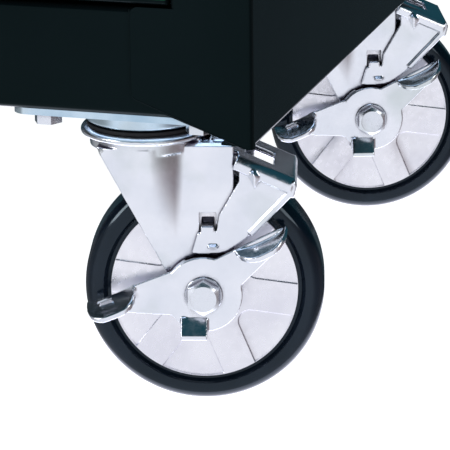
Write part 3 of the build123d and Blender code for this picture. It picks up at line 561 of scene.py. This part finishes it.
def fork_mesh():
    """Two fluted legs, the toe, the crown and the shoulder, pressed into one."""
    bm = bmesh.new()
    rows, columns = 56, 44
    for side in (1, -1):
        loops = []
        for i in range(rows + 1):
            v = -leg_foot + 0.0008 + (leg_top + leg_foot - 0.0008) * i / rows
            left = leg_edge(v)
            right = leg_front
            if v <= 0:
                right = min(leg_front, math.sqrt(max(leg_foot ** 2 - v ** 2, 1e-8)))
            across = [left + (right - left) * k / columns for k in range(columns + 1)]
            face = [beside(u, side * (leg_out + leg_bulge(u, v)), v) for u in across]
            back = [beside(u, side * (leg_in + leg_bulge(u, v) * flute_inside), v)
                    for u in reversed(across)]
            loops.append(face + back)
        loft(bm, loops)
    # the toe under the outer leg
    slab(bm, [(-0.0122, -0.0225), (0.0016, -0.0225), (0.0016, -0.004), (-0.0122, -0.004)],
         leg_in, leg_out)
    shaft = 0.0081
    profile = [(shaft, crown_top - wall), (shaft, crown_top), (0.0290, crown_top),
               (0.0316, crown_top - 0.0012), (0.0336, crown_top - 0.0020),
               (0.0347, crown_top - 0.0036), (0.0343, crown_top - 0.0052),
               (0.0300, crown_top - 0.0060), (0.0298, crown_foot), (0.0282, crown_foot),
               (0.0280, crown_top - 0.0054), (0.0270, crown_top - wall)]
    turned(bm, profile, -trail)
    # shoulder: the strip between the crown and the front edge, bent over into both legs
    bend = 0.0045
    inner_bend = 0.0015
    inner = leg_in - 0.0004
    outside = arc((-leg_out + bend, shoulder_top - bend), bend, 180, 90, 6)
    outside += arc((leg_out - bend, shoulder_top - bend), bend, 90, 0, 6)
    inside_top = shoulder_top - wall - inner_bend
    inside = arc((inner - inner_bend, inside_top), inner_bend, 0, 90, 4)
    inside += arc((-inner + inner_bend, inside_top), inner_bend, 90, 180, 4)
    low = shoulder_top - 0.010
    section = [(-leg_out, low)] + outside + [(leg_out, low), (inner, low)] + inside
    section += [(-inner, low)]
    loft(bm, [[beside(u, h, v) for h, v in section] for u in (-trail + 0.014, leg_front)])
    # three low bars pressed up across the shoulder's top
    bar_half = 0.0007
    for u in (-0.0085, -0.0020, 0.0045):
        slab(bm, [(u - bar_half, shoulder_top - 0.001), (u + bar_half, shoulder_top - 0.001),
                  (u + bar_half, shoulder_top + 0.0016), (u - bar_half, shoulder_top + 0.0016)],
             0.004, leg_in)
    return pressed("fork", bm, press_grid, 8)


edge_round = 0.0012


def true_faces(mesh):
    """Lay the outer faces of both legs back on their drawn surface, away from the edges."""
    for vertex in mesh.vertices:
        u, h, v = vertex.co.x, -vertex.co.y, vertex.co.z
        drawn = leg_out + leg_bulge(u, v)
        margin = min(u - leg_edge(v), leg_front - u, v - flute_foot / 2, leg_top - 0.0055 - v)
        if margin < edge_round or abs(abs(h) - drawn) > 2 * press_grid:
            continue
        share = ease_in(margin, edge_round, 0.0030)
        vertex.co.y = -math.copysign(abs(h) + (drawn - abs(h)) * share, h)


fork_blank = fork_mesh()
true_faces(fork_blank)


window_centre = (0.0024, 0.0383)
window_size = 0.0090
window_corner = 0.0006
window_tall = 1.16
window_clear = 0.003


def cut_window(piece, centre, size, h_low, h_high, seat):
    """Pierce an upright window, a little taller than wide, through one leg."""
    u, v = centre
    bm = bmesh.new()
    half = size / 2
    slab(bm, rounded([(u + a * half, v + b * half * window_tall, window_corner)
                      for a, b in ((-1, -1), (1, -1), (1, 1), (-1, 1))]), h_low, h_high)
    punch_mesh = closed_mesh("punch", bm)
    punch_mesh.transform(seat)
    punch = bpy.data.objects.new("punch", punch_mesh)
    bpy.context.scene.collection.objects.link(punch)
    cut = piece.modifiers.new("window", "BOOLEAN")
    cut.object = punch
    cut.operation = "DIFFERENCE"
    cut.solver = "EXACT"
    ready = piece.evaluated_get(bpy.context.evaluated_depsgraph_get())
    mesh = bpy.data.meshes.new_from_object(ready)
    piece.modifiers.clear()
    piece.data = mesh
    bpy.data.objects.remove(punch)


for caster in swivels:
    fork = fit(caster + "_pressed_fork", fork_blank, caster_seat(caster), press_zinc,
               caster + "_swivel", [caster + "_fork"])
    for side in (1, -1):
        cut_window(fork, window_centre, window_size, side * (leg_in - window_clear),
                   side * (leg_out + window_clear), caster_seat(caster))

# Race gap: a near-black matt ring set between the plate's race and the crown, painted shade in the
# gap.
painted_gap_shade = finish("painted_gap_shade", (0.003, 0.003, 0.004, 1), 0.0, 0.7)
gap_shade_grain = grain(painted_gap_shade, 500.0)
relief(painted_gap_shade, gap_shade_grain, 0.00003)
vary(painted_gap_shade, gap_shade_grain, 0.6, 0.8)
tint(painted_gap_shade, gap_shade_grain, ((0.002, 0.002, 0.003, 1), (0.006, 0.006, 0.007, 1)))
race_foot = 0.1530 - axle_height
gap_ring_bore = 0.0285
for caster in swivels:
    bm = bmesh.new()
    turned(bm, [(gap_ring_bore, crown_top + 0.0001), (0.0314, crown_top - 0.0009),
                (0.0318, (crown_top + race_foot) / 2), (0.0316, race_foot - 0.0002),
                (gap_ring_bore, race_foot - 0.0002)], -trail)
    fit(caster + "_race_gap_shade", closed_mesh("race_gap_shade", bm), caster_seat(caster), painted_gap_shade,
        caster + "_swivel", [])

# ======================================================================
# Wheels: die-cast aluminium cores, faces turned and satin-brushed, with six
# spokes left proud between shallow pockets on each face.
# ======================================================================
core_radius = 0.0495
core_half = 0.0158
hub_bore = 0.0160
fixed_bore = 0.0081
spoke_count = 6
pocket_half = 180 / spoke_count
spoke_half = 0.0085
spoke_turn = 52.0
pocket_corner = 0.0065
core_alloy = finish("core_alloy", (0.87, 0.87, 0.91, 1.0), 1.0, 0.3)
core_turning = grain(core_alloy, 260.0, detail=4.0)
vary(core_alloy, core_turning, 0.24, 0.38)
relief(core_alloy, core_turning, 0.00002)
relief(core_alloy, grain(core_alloy, 60.0, detail=2.0), 0.00012)
tint(core_alloy, grain(core_alloy, 30.0, detail=5.0),
     ((0.80, 0.80, 0.86, 1), (0.90, 0.90, 0.94, 1)))


def pocket_loop(middle, inset):
    """Outline of one pocket between two spokes, drawn in by inset."""
    half_angle = math.radians(pocket_half)
    apex = (spoke_half + inset) / math.sin(half_angle)
    rim = core_radius - 0.0002
    reach = math.sqrt(rim ** 2 - (spoke_half + inset) ** 2)
    wall_end = math.degrees(math.atan2(spoke_half + inset, reach))
    spread = pocket_half - wall_end
    corner = pocket_corner - inset * 0.5
    foot = apex + corner / math.sin(half_angle) - corner
    run = corner / math.tan(half_angle)
    points = []
    for k in range(9):
        angle = math.radians(120 + 120 * k / 8)
        points.append((foot + corner + corner * math.cos(angle), corner * math.sin(angle)))
    wall_low = (apex + run * math.cos(half_angle), -run * math.sin(half_angle))
    points[-1] = wall_low
    points[0] = (wall_low[0], -wall_low[1])
    for k in range(13):
        angle = math.radians(-spread + 2 * spread * k / 12)
        points.append((rim * math.cos(angle), rim * math.sin(angle)))
    turn_by = math.radians(middle)
    return [(x * math.cos(turn_by) - y * math.sin(turn_by),
             x * math.sin(turn_by) + y * math.cos(turn_by)) for x, y in points]


def smooth_by_angle(mesh, angle=32.0):
    """Shade smooth, with creases kept sharp."""
    for polygon in mesh.polygons:
        polygon.use_smooth = True
    mesh.set_sharp_from_angle(angle=math.radians(angle))


def core_mesh(bore):
    """Turned disc with cast pockets in both faces and a plain bore."""
    bm = bmesh.new()
    wall_steps = ((0.0, 0.0), (0.0002, 0.0001), (0.0006, 0.0009), (0.0010, 0.0011))
    for side in (1, -1):
        edges = []
        rim_loop, bore_loop = [
            [bm.verts.new(beside(radius * math.cos(a), side * core_half, radius * math.sin(a)))
             for a in around(count)] for radius, count in ((core_radius, 144), (bore, 72))]
        for loop in (rim_loop, bore_loop):
            edges += [bm.edges.new((loop[i], loop[(i + 1) % len(loop)]))
                      for i in range(len(loop))]
        for number in range(spoke_count):
            middle = spoke_turn + pocket_half + 2 * pocket_half * number
            rings = []
            for inset, depth in wall_steps:
                rings.append([bm.verts.new(beside(u, side * (core_half - depth), v))
                              for u, v in pocket_loop(middle, inset)])
            count = len(rings[0])
            edges += [bm.edges.new((rings[0][i], rings[0][(i + 1) % count]))
                      for i in range(count)]
            for near, far in zip(rings, rings[1:]):
                for i in range(count):
                    k = (i + 1) % count
                    bm.faces.new((near[i], near[k], far[k], far[i]))
            bm.faces.new(rings[-1])
        bmesh.ops.triangle_fill(bm, use_beauty=True, edges=edges)
        if side == 1:
            front_rim, front_bore = rim_loop, bore_loop
    for front_loop, back_loop in ((front_rim, rim_loop), (front_bore, bore_loop)):
        for i in range(len(front_loop)):
            k = (i + 1) % len(front_loop)
            bm.faces.new((front_loop[i], front_loop[k], back_loop[k], back_loop[i]))
    mesh = closed_mesh("wheel_core", bm)
    smooth_by_angle(mesh)
    return mesh


for caster in swivels + fixed:
    bore = hub_bore if caster in swivels else fixed_bore
    fit(caster + "_cast_core", core_mesh(bore), caster_seat(caster), core_alloy,
        caster + "_roller", [caster + "_wheel"])

# Tyres: cast polyurethane bonded to the core, dark and glossy from the mould.
tyre_black = finish("tyre_polyurethane", (0.006, 0.010, 0.016, 1.0), 0.0, 0.16)
shader_of(tyre_black).inputs["Specular IOR Level"].default_value = 0.36
shader_of(tyre_black).inputs["Specular Tint"].default_value = (0.72, 0.88, 1.0, 1.0)
tyre_haze = grain(tyre_black, 24.0, detail=6.0)
vary(tyre_black, tyre_haze, 0.08, 0.18)
tint(tyre_black, tyre_haze, ((0.0022, 0.0050, 0.0095, 1), (0.006, 0.010, 0.018, 1)))
relief(tyre_black, grain(tyre_black, 150.0), 0.00003)
paint([c + "_tyre" for c in swivels + fixed], tyre_black)

# ======================================================================
# Axles of the swivel wheels: a hexagon bolt with washers, a spacer tube and a
# nut, all plated. The head is forged with a domed chamfer.
# ======================================================================
head_flats = 0.0162
head_back = 0.0291
head_height = 0.0064
bolt_radius = 0.0050
nut_back = -0.0225
nut_height = 0.0080
face_share = 0.86
chamfer = 28
spacer_end = 0.0248
sleeve_radius = 0.0080


def hexagon(bm, base, height, flats, outward):
    """Forged hexagon: flat sides, and a chamfer that leaves a round face."""
    steps = 72
    face_radius = flats / 2 * face_share
    loops = []
    for ring in ("base", "side", "face", "dish"):
        loop = []
        for i in range(steps):
            turn_deg = 360 * i / steps
            off_flat = (turn_deg + 30) % 60 - 30
            rim = flats / 2 / math.cos(math.radians(off_flat))
            drop = (rim - face_radius) * math.tan(math.radians(chamfer))
            radius, rise = {"base": (rim, 0.0), "side": (rim, height - drop),
                            "face": (face_radius, height),
                            "dish": (face_radius * 0.9, height - 0.0002)}[ring]
            angle = math.radians(turn_deg)
            loop.append(beside(radius * math.cos(angle), base + outward * rise,
                               radius * math.sin(angle)))
        loops.append(loop)
    loft(bm, loops)


def rod(bm, radius, low, high, soften=0.0003):
    """A round bar or washer along the axle, with its rims softened."""
    rims = ((radius - soften, low), (radius, low + soften),
            (radius, high - soften), (radius - soften, high))
    loft(bm, [[beside(r * math.cos(a), h, r * math.sin(a)) for a in around(64)] for r, h in rims])


for caster in swivels:
    bm = bmesh.new()
    hexagon(bm, head_back, head_height, head_flats, 1)
    hexagon(bm, nut_back, nut_height, head_flats, -1)
    rod(bm, 0.0100, head_back - 0.001, head_back)
    rod(bm, 0.0108, nut_back, nut_back + 0.001)
    rod(bm, 0.0110, leg_out, spacer_end)
    rod(bm, bolt_radius, nut_back - nut_height - 0.002, head_back)
    rod(bm, sleeve_radius, -leg_in, leg_in)
    bolt_mesh = closed_mesh("axle_bolt", bm)
    smooth_by_angle(bolt_mesh)
    fit(caster + "_axle_bolt", bolt_mesh, caster_seat(caster), screw_zinc, caster + "_swivel",
        [caster + "_axle"])

# ======================================================================
# Brake arms: stirrups pressed from 2.5 mm strip. Two cheeks hook into the fork's
# windows, and a bridge with a square hole joins them over the tyre. The folds
# are wide, and a small rib stiffens the fold above the outer cheek.
# ======================================================================
arm_back = leg_out + 0.0003
arm_face = arm_back + 0.0025
bridge_rear = (0.0176, 0.0727)
bridge_front = (0.0470, 0.0594)
bridge_lip = (0.0455, 0.0522)
bridge_thick = 0.0026
bridge_fold = 0.0050
bridge_turn = 125
bridge_half = arm_face + 0.0022
hole_start, hole_end, hole_half = 0.0040, 0.0205, 0.0115
rib_place = 0.0104
rib_lift = 0.0018
roll_half = 0.0016
hook_left, hook_right = -0.0012, 0.0058


def arm_mesh():
    """Two cheeks, the bridge between them, its lip and tooth, the rib, hooks and tongue."""
    bm = bmesh.new()
    outer = rounded([(-0.0063, 0.0216, 0.001), (-0.0029, 0.0331, 0.0008), (hook_left, 0.0331, 0),
                     (hook_left, 0.0364, 0), (hook_right, 0.0364, 0), (hook_right, 0.0331, 0),
                     (0.0069, 0.0332, 0.0008), (0.0081, 0.0419, 0.003), (0.0190, 0.0610, 0.002),
                     (0.0190, 0.0712, 0.002), (0.0462, 0.0592, 0.002), (0.0452, 0.0520, 0.003),
                     (0.0247, 0.0318, 0.002), (0.0194, 0.0274, 0.001), (0.0120, 0.0222, 0.003),
                     (0.0010, 0.0212, 0.002)], 4)
    inner = rounded([(-0.0029, 0.0331, 0.001), (hook_left, 0.0364, 0), (hook_right, 0.0364, 0),
                     (0.0081, 0.0419, 0.003), (0.0182, 0.0610, 0.002), (0.0182, 0.0712, 0.002),
                     (0.0262, 0.0680, 0.002), (0.0255, 0.0560, 0.004), (0.0170, 0.0330, 0.003),
                     (0.0120, 0.0300, 0.002)], 4)
    slab(bm, outer, arm_back, arm_face)
    slab(bm, inner, -arm_face, -arm_back)
    # the bridge: a strip whose two folds are rolled, with the hole left between four bars
    run = Vector(bridge_front) - Vector(bridge_rear)
    along = run.normalized()
    up = Vector((-along.y, along.x))

    def bridge_bar(start, end, low, high):
        a = Vector(bridge_rear) + along * start
        b = Vector(bridge_rear) + along * end
        rise = up * bridge_thick
        slab(bm, [tuple(a), tuple(b), tuple(b + rise), tuple(a + rise)], low, high)

    length = run.length
    flat = bridge_half - bridge_fold
    bridge_bar(0.0, hole_start, -flat, flat)
    bridge_bar(hole_end, length, -flat, flat)
    bridge_bar(0.0, length, hole_half, flat)
    bridge_bar(0.0, length, -flat, -hole_half)
    bridge_bar(-0.0050, 0.001, -leg_in + 0.001, leg_in - 0.001)
    for side in (1, -1):
        loops = []
        for end in (0.0, length):
            at = Vector(bridge_rear) + along * end
            loop = []
            for r in (bridge_fold, bridge_fold - bridge_thick):
                angles = [math.radians(bridge_turn * k / 12) for k in range(13)]
                if r < bridge_fold:
                    angles = angles[::-1]
                for a in angles:
                    rise = bridge_thick - bridge_fold + r * math.sin(math.pi / 2 - a)
                    spot = at + up * rise
                    loop.append(beside(spot.x, side * (flat + r * math.sin(a)), spot.y))
            loops.append(loop)
        loft(bm, loops)
    # the front lip, rolled down towards the tyre, with its blunt tooth
    lip = [tuple(Vector(bridge_front) + up * bridge_thick),
           (bridge_front[0] + 0.0022, bridge_front[1] - 0.0006),
           (bridge_lip[0] + 0.0020, bridge_lip[1]),
           (bridge_lip[0] - 0.0006, bridge_lip[1] + 0.0006),
           (bridge_front[0] - 0.0010, bridge_front[1] - 0.0016),
           tuple(Vector(bridge_front) - along * 0.002)]
    slab(bm, lip, -bridge_half + 0.0015, bridge_half - 0.0008)
    tooth = [(0.0462, 0.0545), (0.0440, 0.0560), (0.0416, 0.0524), (0.0430, 0.0509),
             (0.0460, 0.0525)]
    slab(bm, tooth, -0.010, 0.010)
    # the rib across the fold above the outer cheek: a sharp-backed diamond
    middle = Vector(bridge_rear) + along * rib_place
    corners = []
    for out, down, aside in ((-0.0050, -0.0028, 0.0), (0.0034, 0.0022, 0.0), (0.0002, 0.0118, 0.0),
                             (-0.0005, 0.0035, 0.0042), (-0.0005, 0.0035, -0.0042),
                             (-0.0045, 0.0040, 0.0)):
        spot = middle + along * aside
        corners.append(bm.verts.new(beside(spot.x, arm_face + out + rib_lift, spot.y - down)))
    bmesh.ops.convex_hull(bm, input=corners)
    # the cheek's front edge, rolled outwards into a bead
    roll_top, roll_foot = Vector((0.0445, 0.0535)), Vector((0.0245, 0.0324))
    roll_across = (roll_top - roll_foot).normalized().orthogonal() * roll_half
    slab(bm, [tuple(roll_top - roll_across), tuple(roll_top + roll_across),
              tuple(roll_foot + roll_across), tuple(roll_foot - roll_across)],
         arm_face - 0.001, arm_face + 0.0014)
    # hooks in the windows
    for low, high in ((leg_in - 0.001, arm_face), (-arm_face, -leg_in + 0.001)):
        slab(bm, rounded([(hook_left, 0.0342, 0.0004), (hook_right, 0.0342, 0.0004),
                          (hook_right, 0.0366, 0.0004), (hook_left, 0.0366, 0.0004)], 3), low, high)
    scoop(bm, hook_left, hook_right, 0.0412, 0.0355, leg_in - 0.0060, arm_face + 0.0002)
    # the lanced tongue in the outer cheek
    scoop(bm, 0.0024, 0.0076, 0.0296, 0.0262, arm_back + 0.0006, arm_face + 0.0022, 0.0014)
    return pressed("brake_arm", bm, press_grid, 5)


arm_blank = arm_mesh()
for caster in swivels:
    fit(caster + "_pressed_arm", arm_blank, caster_seat(caster), press_zinc, caster + "_stirrup",
        [caster + "_brake_arm"])

# ======================================================================
# Brake pedals: a 3 mm plate that rocks on the axle bolt, with a broad tread
# folded out at each end. Three grip ridges are raised on the rear tread, and a
# skirt is folded back behind the rim.
# ======================================================================
rocker_back = spacer_end
rocker_face = rocker_back + wall
rocker_radius = 0.0205
skirt_start, skirt_end = 118, 153


def tread(bm, start, end, sag, depth, tip, tilt):
    """A curved tread: a strip from start to end, folded out, with rounded outer corners."""
    a, b = Vector(start), Vector(end)
    along = (b - a).normalized()
    up = Vector((-along.y, along.x))
    if up.y < 0:
        up = -up
    length = (b - a).length
    steps = 18
    loops = []
    for i in range(steps + 1):
        t = i / steps
        place = t * length
        from_end = min(place, length - place)
        reach = depth
        if from_end < tip:
            reach = depth - tip + math.sqrt(max(tip ** 2 - (tip - from_end) ** 2, 0))
        reach = max(reach, 0.0006)
        bow = sag * (1 - (2 * t - 1) ** 2)
        spot = a + along * place - up * bow
        top, under = [], []
        for k in range(7):
            out = reach * k / 6
            curl = tilt * out + 0.0010 * (out / depth) ** 3
            top.append(beside(spot.x - up.x * curl, rocker_back + out, spot.y - up.y * curl))
            low = spot - up * (wall + curl)
            under.append(beside(low.x, rocker_back + out, low.y))
        loops.append(top + under[::-1])
    loft(bm, loops)


def pedal_mesh():
    """The stepped disc, its two arms and treads, the stop tab, the grip ridges and the skirt."""
    bm = bmesh.new()
    disc = [(rocker_radius * math.cos(a), rocker_radius * math.sin(a)) for a in around(96)]
    # the plate steps back along a fold line behind the axle
    fold_top, fold_foot = Vector((-0.0163, 0.0068)), Vector((-0.0107, -0.0099))
    step = 0.0008
    fold_out = (fold_top - fold_foot).orthogonal()
    if fold_out.x > 0:
        fold_out = -fold_out
    ahead_part = [point for point in disc if (Vector(point) - fold_foot).dot(fold_out) < 0]
    slab(bm, ahead_part, rocker_back, rocker_face)
    slab(bm, disc, rocker_back, rocker_face - step)
    rear_arm = rounded([(-0.0120, 0.0145, 0.003), (-0.0360, 0.0052, 0.002),
                        (-0.0400, 0.0030, 0.002), (-0.0450, -0.0040, 0.003),
                        (-0.0430, -0.0100, 0.003), (-0.0110, -0.0120, 0.003)])
    slab(bm, rear_arm, rocker_back, rocker_face - step)
    front_arm = rounded([(0.0000, 0.0165, 0.003), (0.0160, 0.0245, 0.004), (0.0420, 0.0375, 0.002),
                         (0.0430, 0.0310, 0.004), (0.0386, 0.0243, 0.006), (0.0204, 0.0057, 0.004),
                         (0.0090, -0.0060, 0.003)])
    slab(bm, front_arm, rocker_back, rocker_face)
    tread(bm, (-0.0622, -0.0046), (-0.0370, 0.0056), 0.0012, 0.0185, 0.0095, 0.24)
    tread(bm, (0.0160, 0.0250), (0.0432, 0.0382), 0.0020, 0.0150, 0.0125, 0.20)
    # the stop tab under the bolt, lanced out of the plate and bent outwards
    tab_top, tab_foot, tab_out = -0.0125, -0.0213, 0.0060
    loops = []
    for u in (-0.0122, 0.0018):
        loops.append([beside(u, rocker_face - 0.0015, tab_top),
                      beside(u, rocker_face + 0.0003, tab_top),
                      beside(u, rocker_face + tab_out, tab_foot),
                      beside(u, rocker_face + tab_out, tab_foot - 0.0024),
                      beside(u, rocker_face - 0.0015, tab_foot + 0.0010)])
    loft(bm, loops)
    # grip ridges on the rear tread
    ridge_width = 0.0009
    lift = Vector((0, 0.0012))
    for start, end, out in (((-0.0555, 0.0010), (-0.0500, 0.0032), 0.0125),
                            ((-0.0560, -0.0005), (-0.0475, 0.0028), 0.0100),
                            ((-0.0545, -0.0015), (-0.0480, 0.0010), 0.0075)):
        a, b = Vector(start), Vector(end)
        slab(bm, [tuple(a - lift * 2), tuple(b - lift * 2), tuple(b - lift), tuple(a - lift)],
             rocker_back + out, rocker_back + out + ridge_width)
    # skirt folded back behind the rim
    near, far = rocker_radius + 0.0004, rocker_radius - wall
    skirt_in, skirt_out = leg_out + 0.0006, rocker_back + 0.001
    loops = []
    for i in range(13):
        angle = math.radians(skirt_start + (skirt_end - skirt_start) * i / 12)
        loops.append([beside(r * math.cos(angle), h, r * math.sin(angle))
                      for r, h in ((near, skirt_in), (near, skirt_out),
                                   (far, skirt_out), (far, skirt_in))])
    loft(bm, loops)
    return pressed("pedal", bm, press_grid, 5)


pedal_blank = pedal_mesh()
for caster in swivels:
    fit(caster + "_pressed_pedal", pedal_blank, caster_seat(caster), press_zinc,
        caster + "_rocker", [caster + "_pedal"])

# ======================================================================
# Studio: a pale paper floor that glows a little, two soft boxes left and right,
# and a white room that the bright parts mirror in tones of their own.
# ======================================================================
floor_half = 6.0
floor_colour = (0.92, 0.92, 0.92, 1.0)
floor_mesh = bpy.data.meshes.new("studio_floor")
floor_mesh.from_pydata([(a * floor_half, b * floor_half, 0)
                        for a, b in ((-1, -1), (1, -1), (1, 1), (-1, 1))], [], [(0, 1, 2, 3)])
floor = bpy.data.objects.new("studio_floor", floor_mesh)
bpy.context.scene.collection.objects.link(floor)
paper = finish("studio_paper", floor_colour, 0.0, 0.9)
shader_of(paper).inputs["Emission Color"].default_value = (1, 1, 1, 1)
shader_of(paper).inputs["Emission Strength"].default_value = 1.0
floor.visible_glossy = False
relief(paper, grain(paper, 800.0), 0.00002)
floor_mesh.materials.append(paper)

# The room that the bright parts mirror: pale in front, grey to both sides, dim behind,
# bright below the horizon and dark overhead. The camera itself sees plain white.
room_front = (0.93, 0.94, 1.0, 1)
room_left = (0.34, 0.35, 0.36, 1)
room_behind = (0.055, 0.080, 0.095, 1)
room_side = (0.24, 0.20, 0.21, 1)
room_overhead = (0.010, 0.052, 0.072, 1)
room_under = (2.6, 2.6, 3.0, 1)
room_seen = (1.0, 1.0, 1.0, 1)
world = bpy.data.worlds.new("studio_room")
world.use_nodes = True
bpy.context.scene.world = world
room_nodes, room_links = world.node_tree.nodes, world.node_tree.links
room_place = room_nodes.new("ShaderNodeTexCoord")
room_split = room_nodes.new("ShaderNodeSeparateXYZ")
room_links.new(room_place.outputs["Generated"], room_split.inputs["Vector"])


def room_blend(below, fac_from, low, high, colour):
    """Blend to another wall colour as one component of the direction goes from low to high."""
    spread = room_nodes.new("ShaderNodeMapRange")
    spread.interpolation_type = "SMOOTHSTEP"
    spread.inputs["From Min"].default_value = low
    spread.inputs["From Max"].default_value = high
    room_links.new(fac_from, spread.inputs["Value"])
    mix = room_nodes.new("ShaderNodeMix")
    mix.data_type = "RGBA"
    room_links.new(spread.outputs["Result"], mix.inputs["Factor"])
    if isinstance(below, tuple):
        mix.inputs["A"].default_value = below
    else:
        room_links.new(below, mix.inputs["A"])
    mix.inputs["B"].default_value = colour
    return mix.outputs["Result"]


def room_factor(from_value, scale, plus=None):
    """One component of the direction, scaled, with another added."""
    node = room_nodes.new("ShaderNodeMath")
    node.operation = "MULTIPLY_ADD"
    node.inputs[1].default_value = scale
    node.inputs[2].default_value = 0.0
    room_links.new(from_value, node.inputs[0])
    if plus:
        room_links.new(plus, node.inputs[2])
    return node.outputs["Value"]


room_leftward = room_factor(room_split.outputs["X"], -1.0)
room_downward = room_factor(room_split.outputs["Z"], -1.0)
room_horizon = room_factor(room_split.outputs["Y"], 0.45, room_downward)
room_height = room_factor(room_split.outputs["Y"], 0.30, room_split.outputs["Z"])
room_begin = room_blend(room_front, room_leftward, 0.62, 0.92, room_left)
room_low = room_blend(room_begin, room_split.outputs["Y"], 0.25, 0.70, room_behind)
room_turned = room_blend(room_low, room_split.outputs["X"], 0.50, 0.98, room_side)
room_ground = room_blend(room_turned, room_horizon, 0.735, 0.82, room_under)
room_wall = room_blend(room_ground, room_height, 0.06, 0.32, room_overhead)
room_path = room_nodes.new("ShaderNodeLightPath")
room_view = room_nodes.new("ShaderNodeMix")
room_view.data_type = "RGBA"
room_links.new(room_path.outputs["Is Camera Ray"], room_view.inputs["Factor"])
room_links.new(room_wall, room_view.inputs["A"])
room_view.inputs["B"].default_value = room_seen
room_links.new(room_view.outputs["Result"], room_nodes["Background"].inputs["Color"])


def soft_box(name, place, target, size, power, colour=(1, 1, 1)):
    """A square studio light that faces a point of the object."""
    light = bpy.data.lights.new(name, "AREA")
    light.size = size
    light.energy = power
    light.color = colour
    lamp = bpy.data.objects.new(name, light)
    lamp.location = place
    lamp.rotation_euler = (Vector(target) - Vector(place)).to_track_quat("-Z", "Y").to_euler()
    lamp.visible_camera = False
    bpy.context.scene.collection.objects.link(lamp)


caster_middle = Vector((0.28, -0.2, 0.1))
soft_box("soft_box_left", (-1.9, -1.9, 1.5), caster_middle, 1.0, 30)
soft_box("soft_box_right", (2.3, -1.2, 1.1), caster_middle, 0.8, 8)

# Camera: a long lens, low and to the right of the front right corner.
camera_place = Vector((0.7317, -1.5776, 0.5530))
camera_yaw = math.radians(16.73)
camera_pitch = math.radians(-17.36)
camera_roll = math.radians(-0.64)
camera = bpy.data.objects.new("camera", bpy.data.cameras.new("camera"))
camera.data.lens = 231.9
camera.data.sensor_width = 36.0
camera.data.clip_start = 0.05
camera.data.clip_end = 60.0
ahead = Vector((-math.sin(camera_yaw) * math.cos(camera_pitch),
                math.cos(camera_yaw) * math.cos(camera_pitch), math.sin(camera_pitch)))
right = Vector((math.cos(camera_yaw), math.sin(camera_yaw), 0))
above = right.cross(ahead)
rolled_right = right * math.cos(camera_roll) + above * math.sin(camera_roll)
rolled_above = above * math.cos(camera_roll) - right * math.sin(camera_roll)
turn = Matrix((rolled_right, rolled_above, -ahead)).transposed()
camera.matrix_world = Matrix.Translation(camera_place) @ turn.to_4x4()
bpy.context.scene.collection.objects.link(camera)
bpy.context.scene.camera = camera
bpy.context.scene.view_settings.view_transform = "Standard"
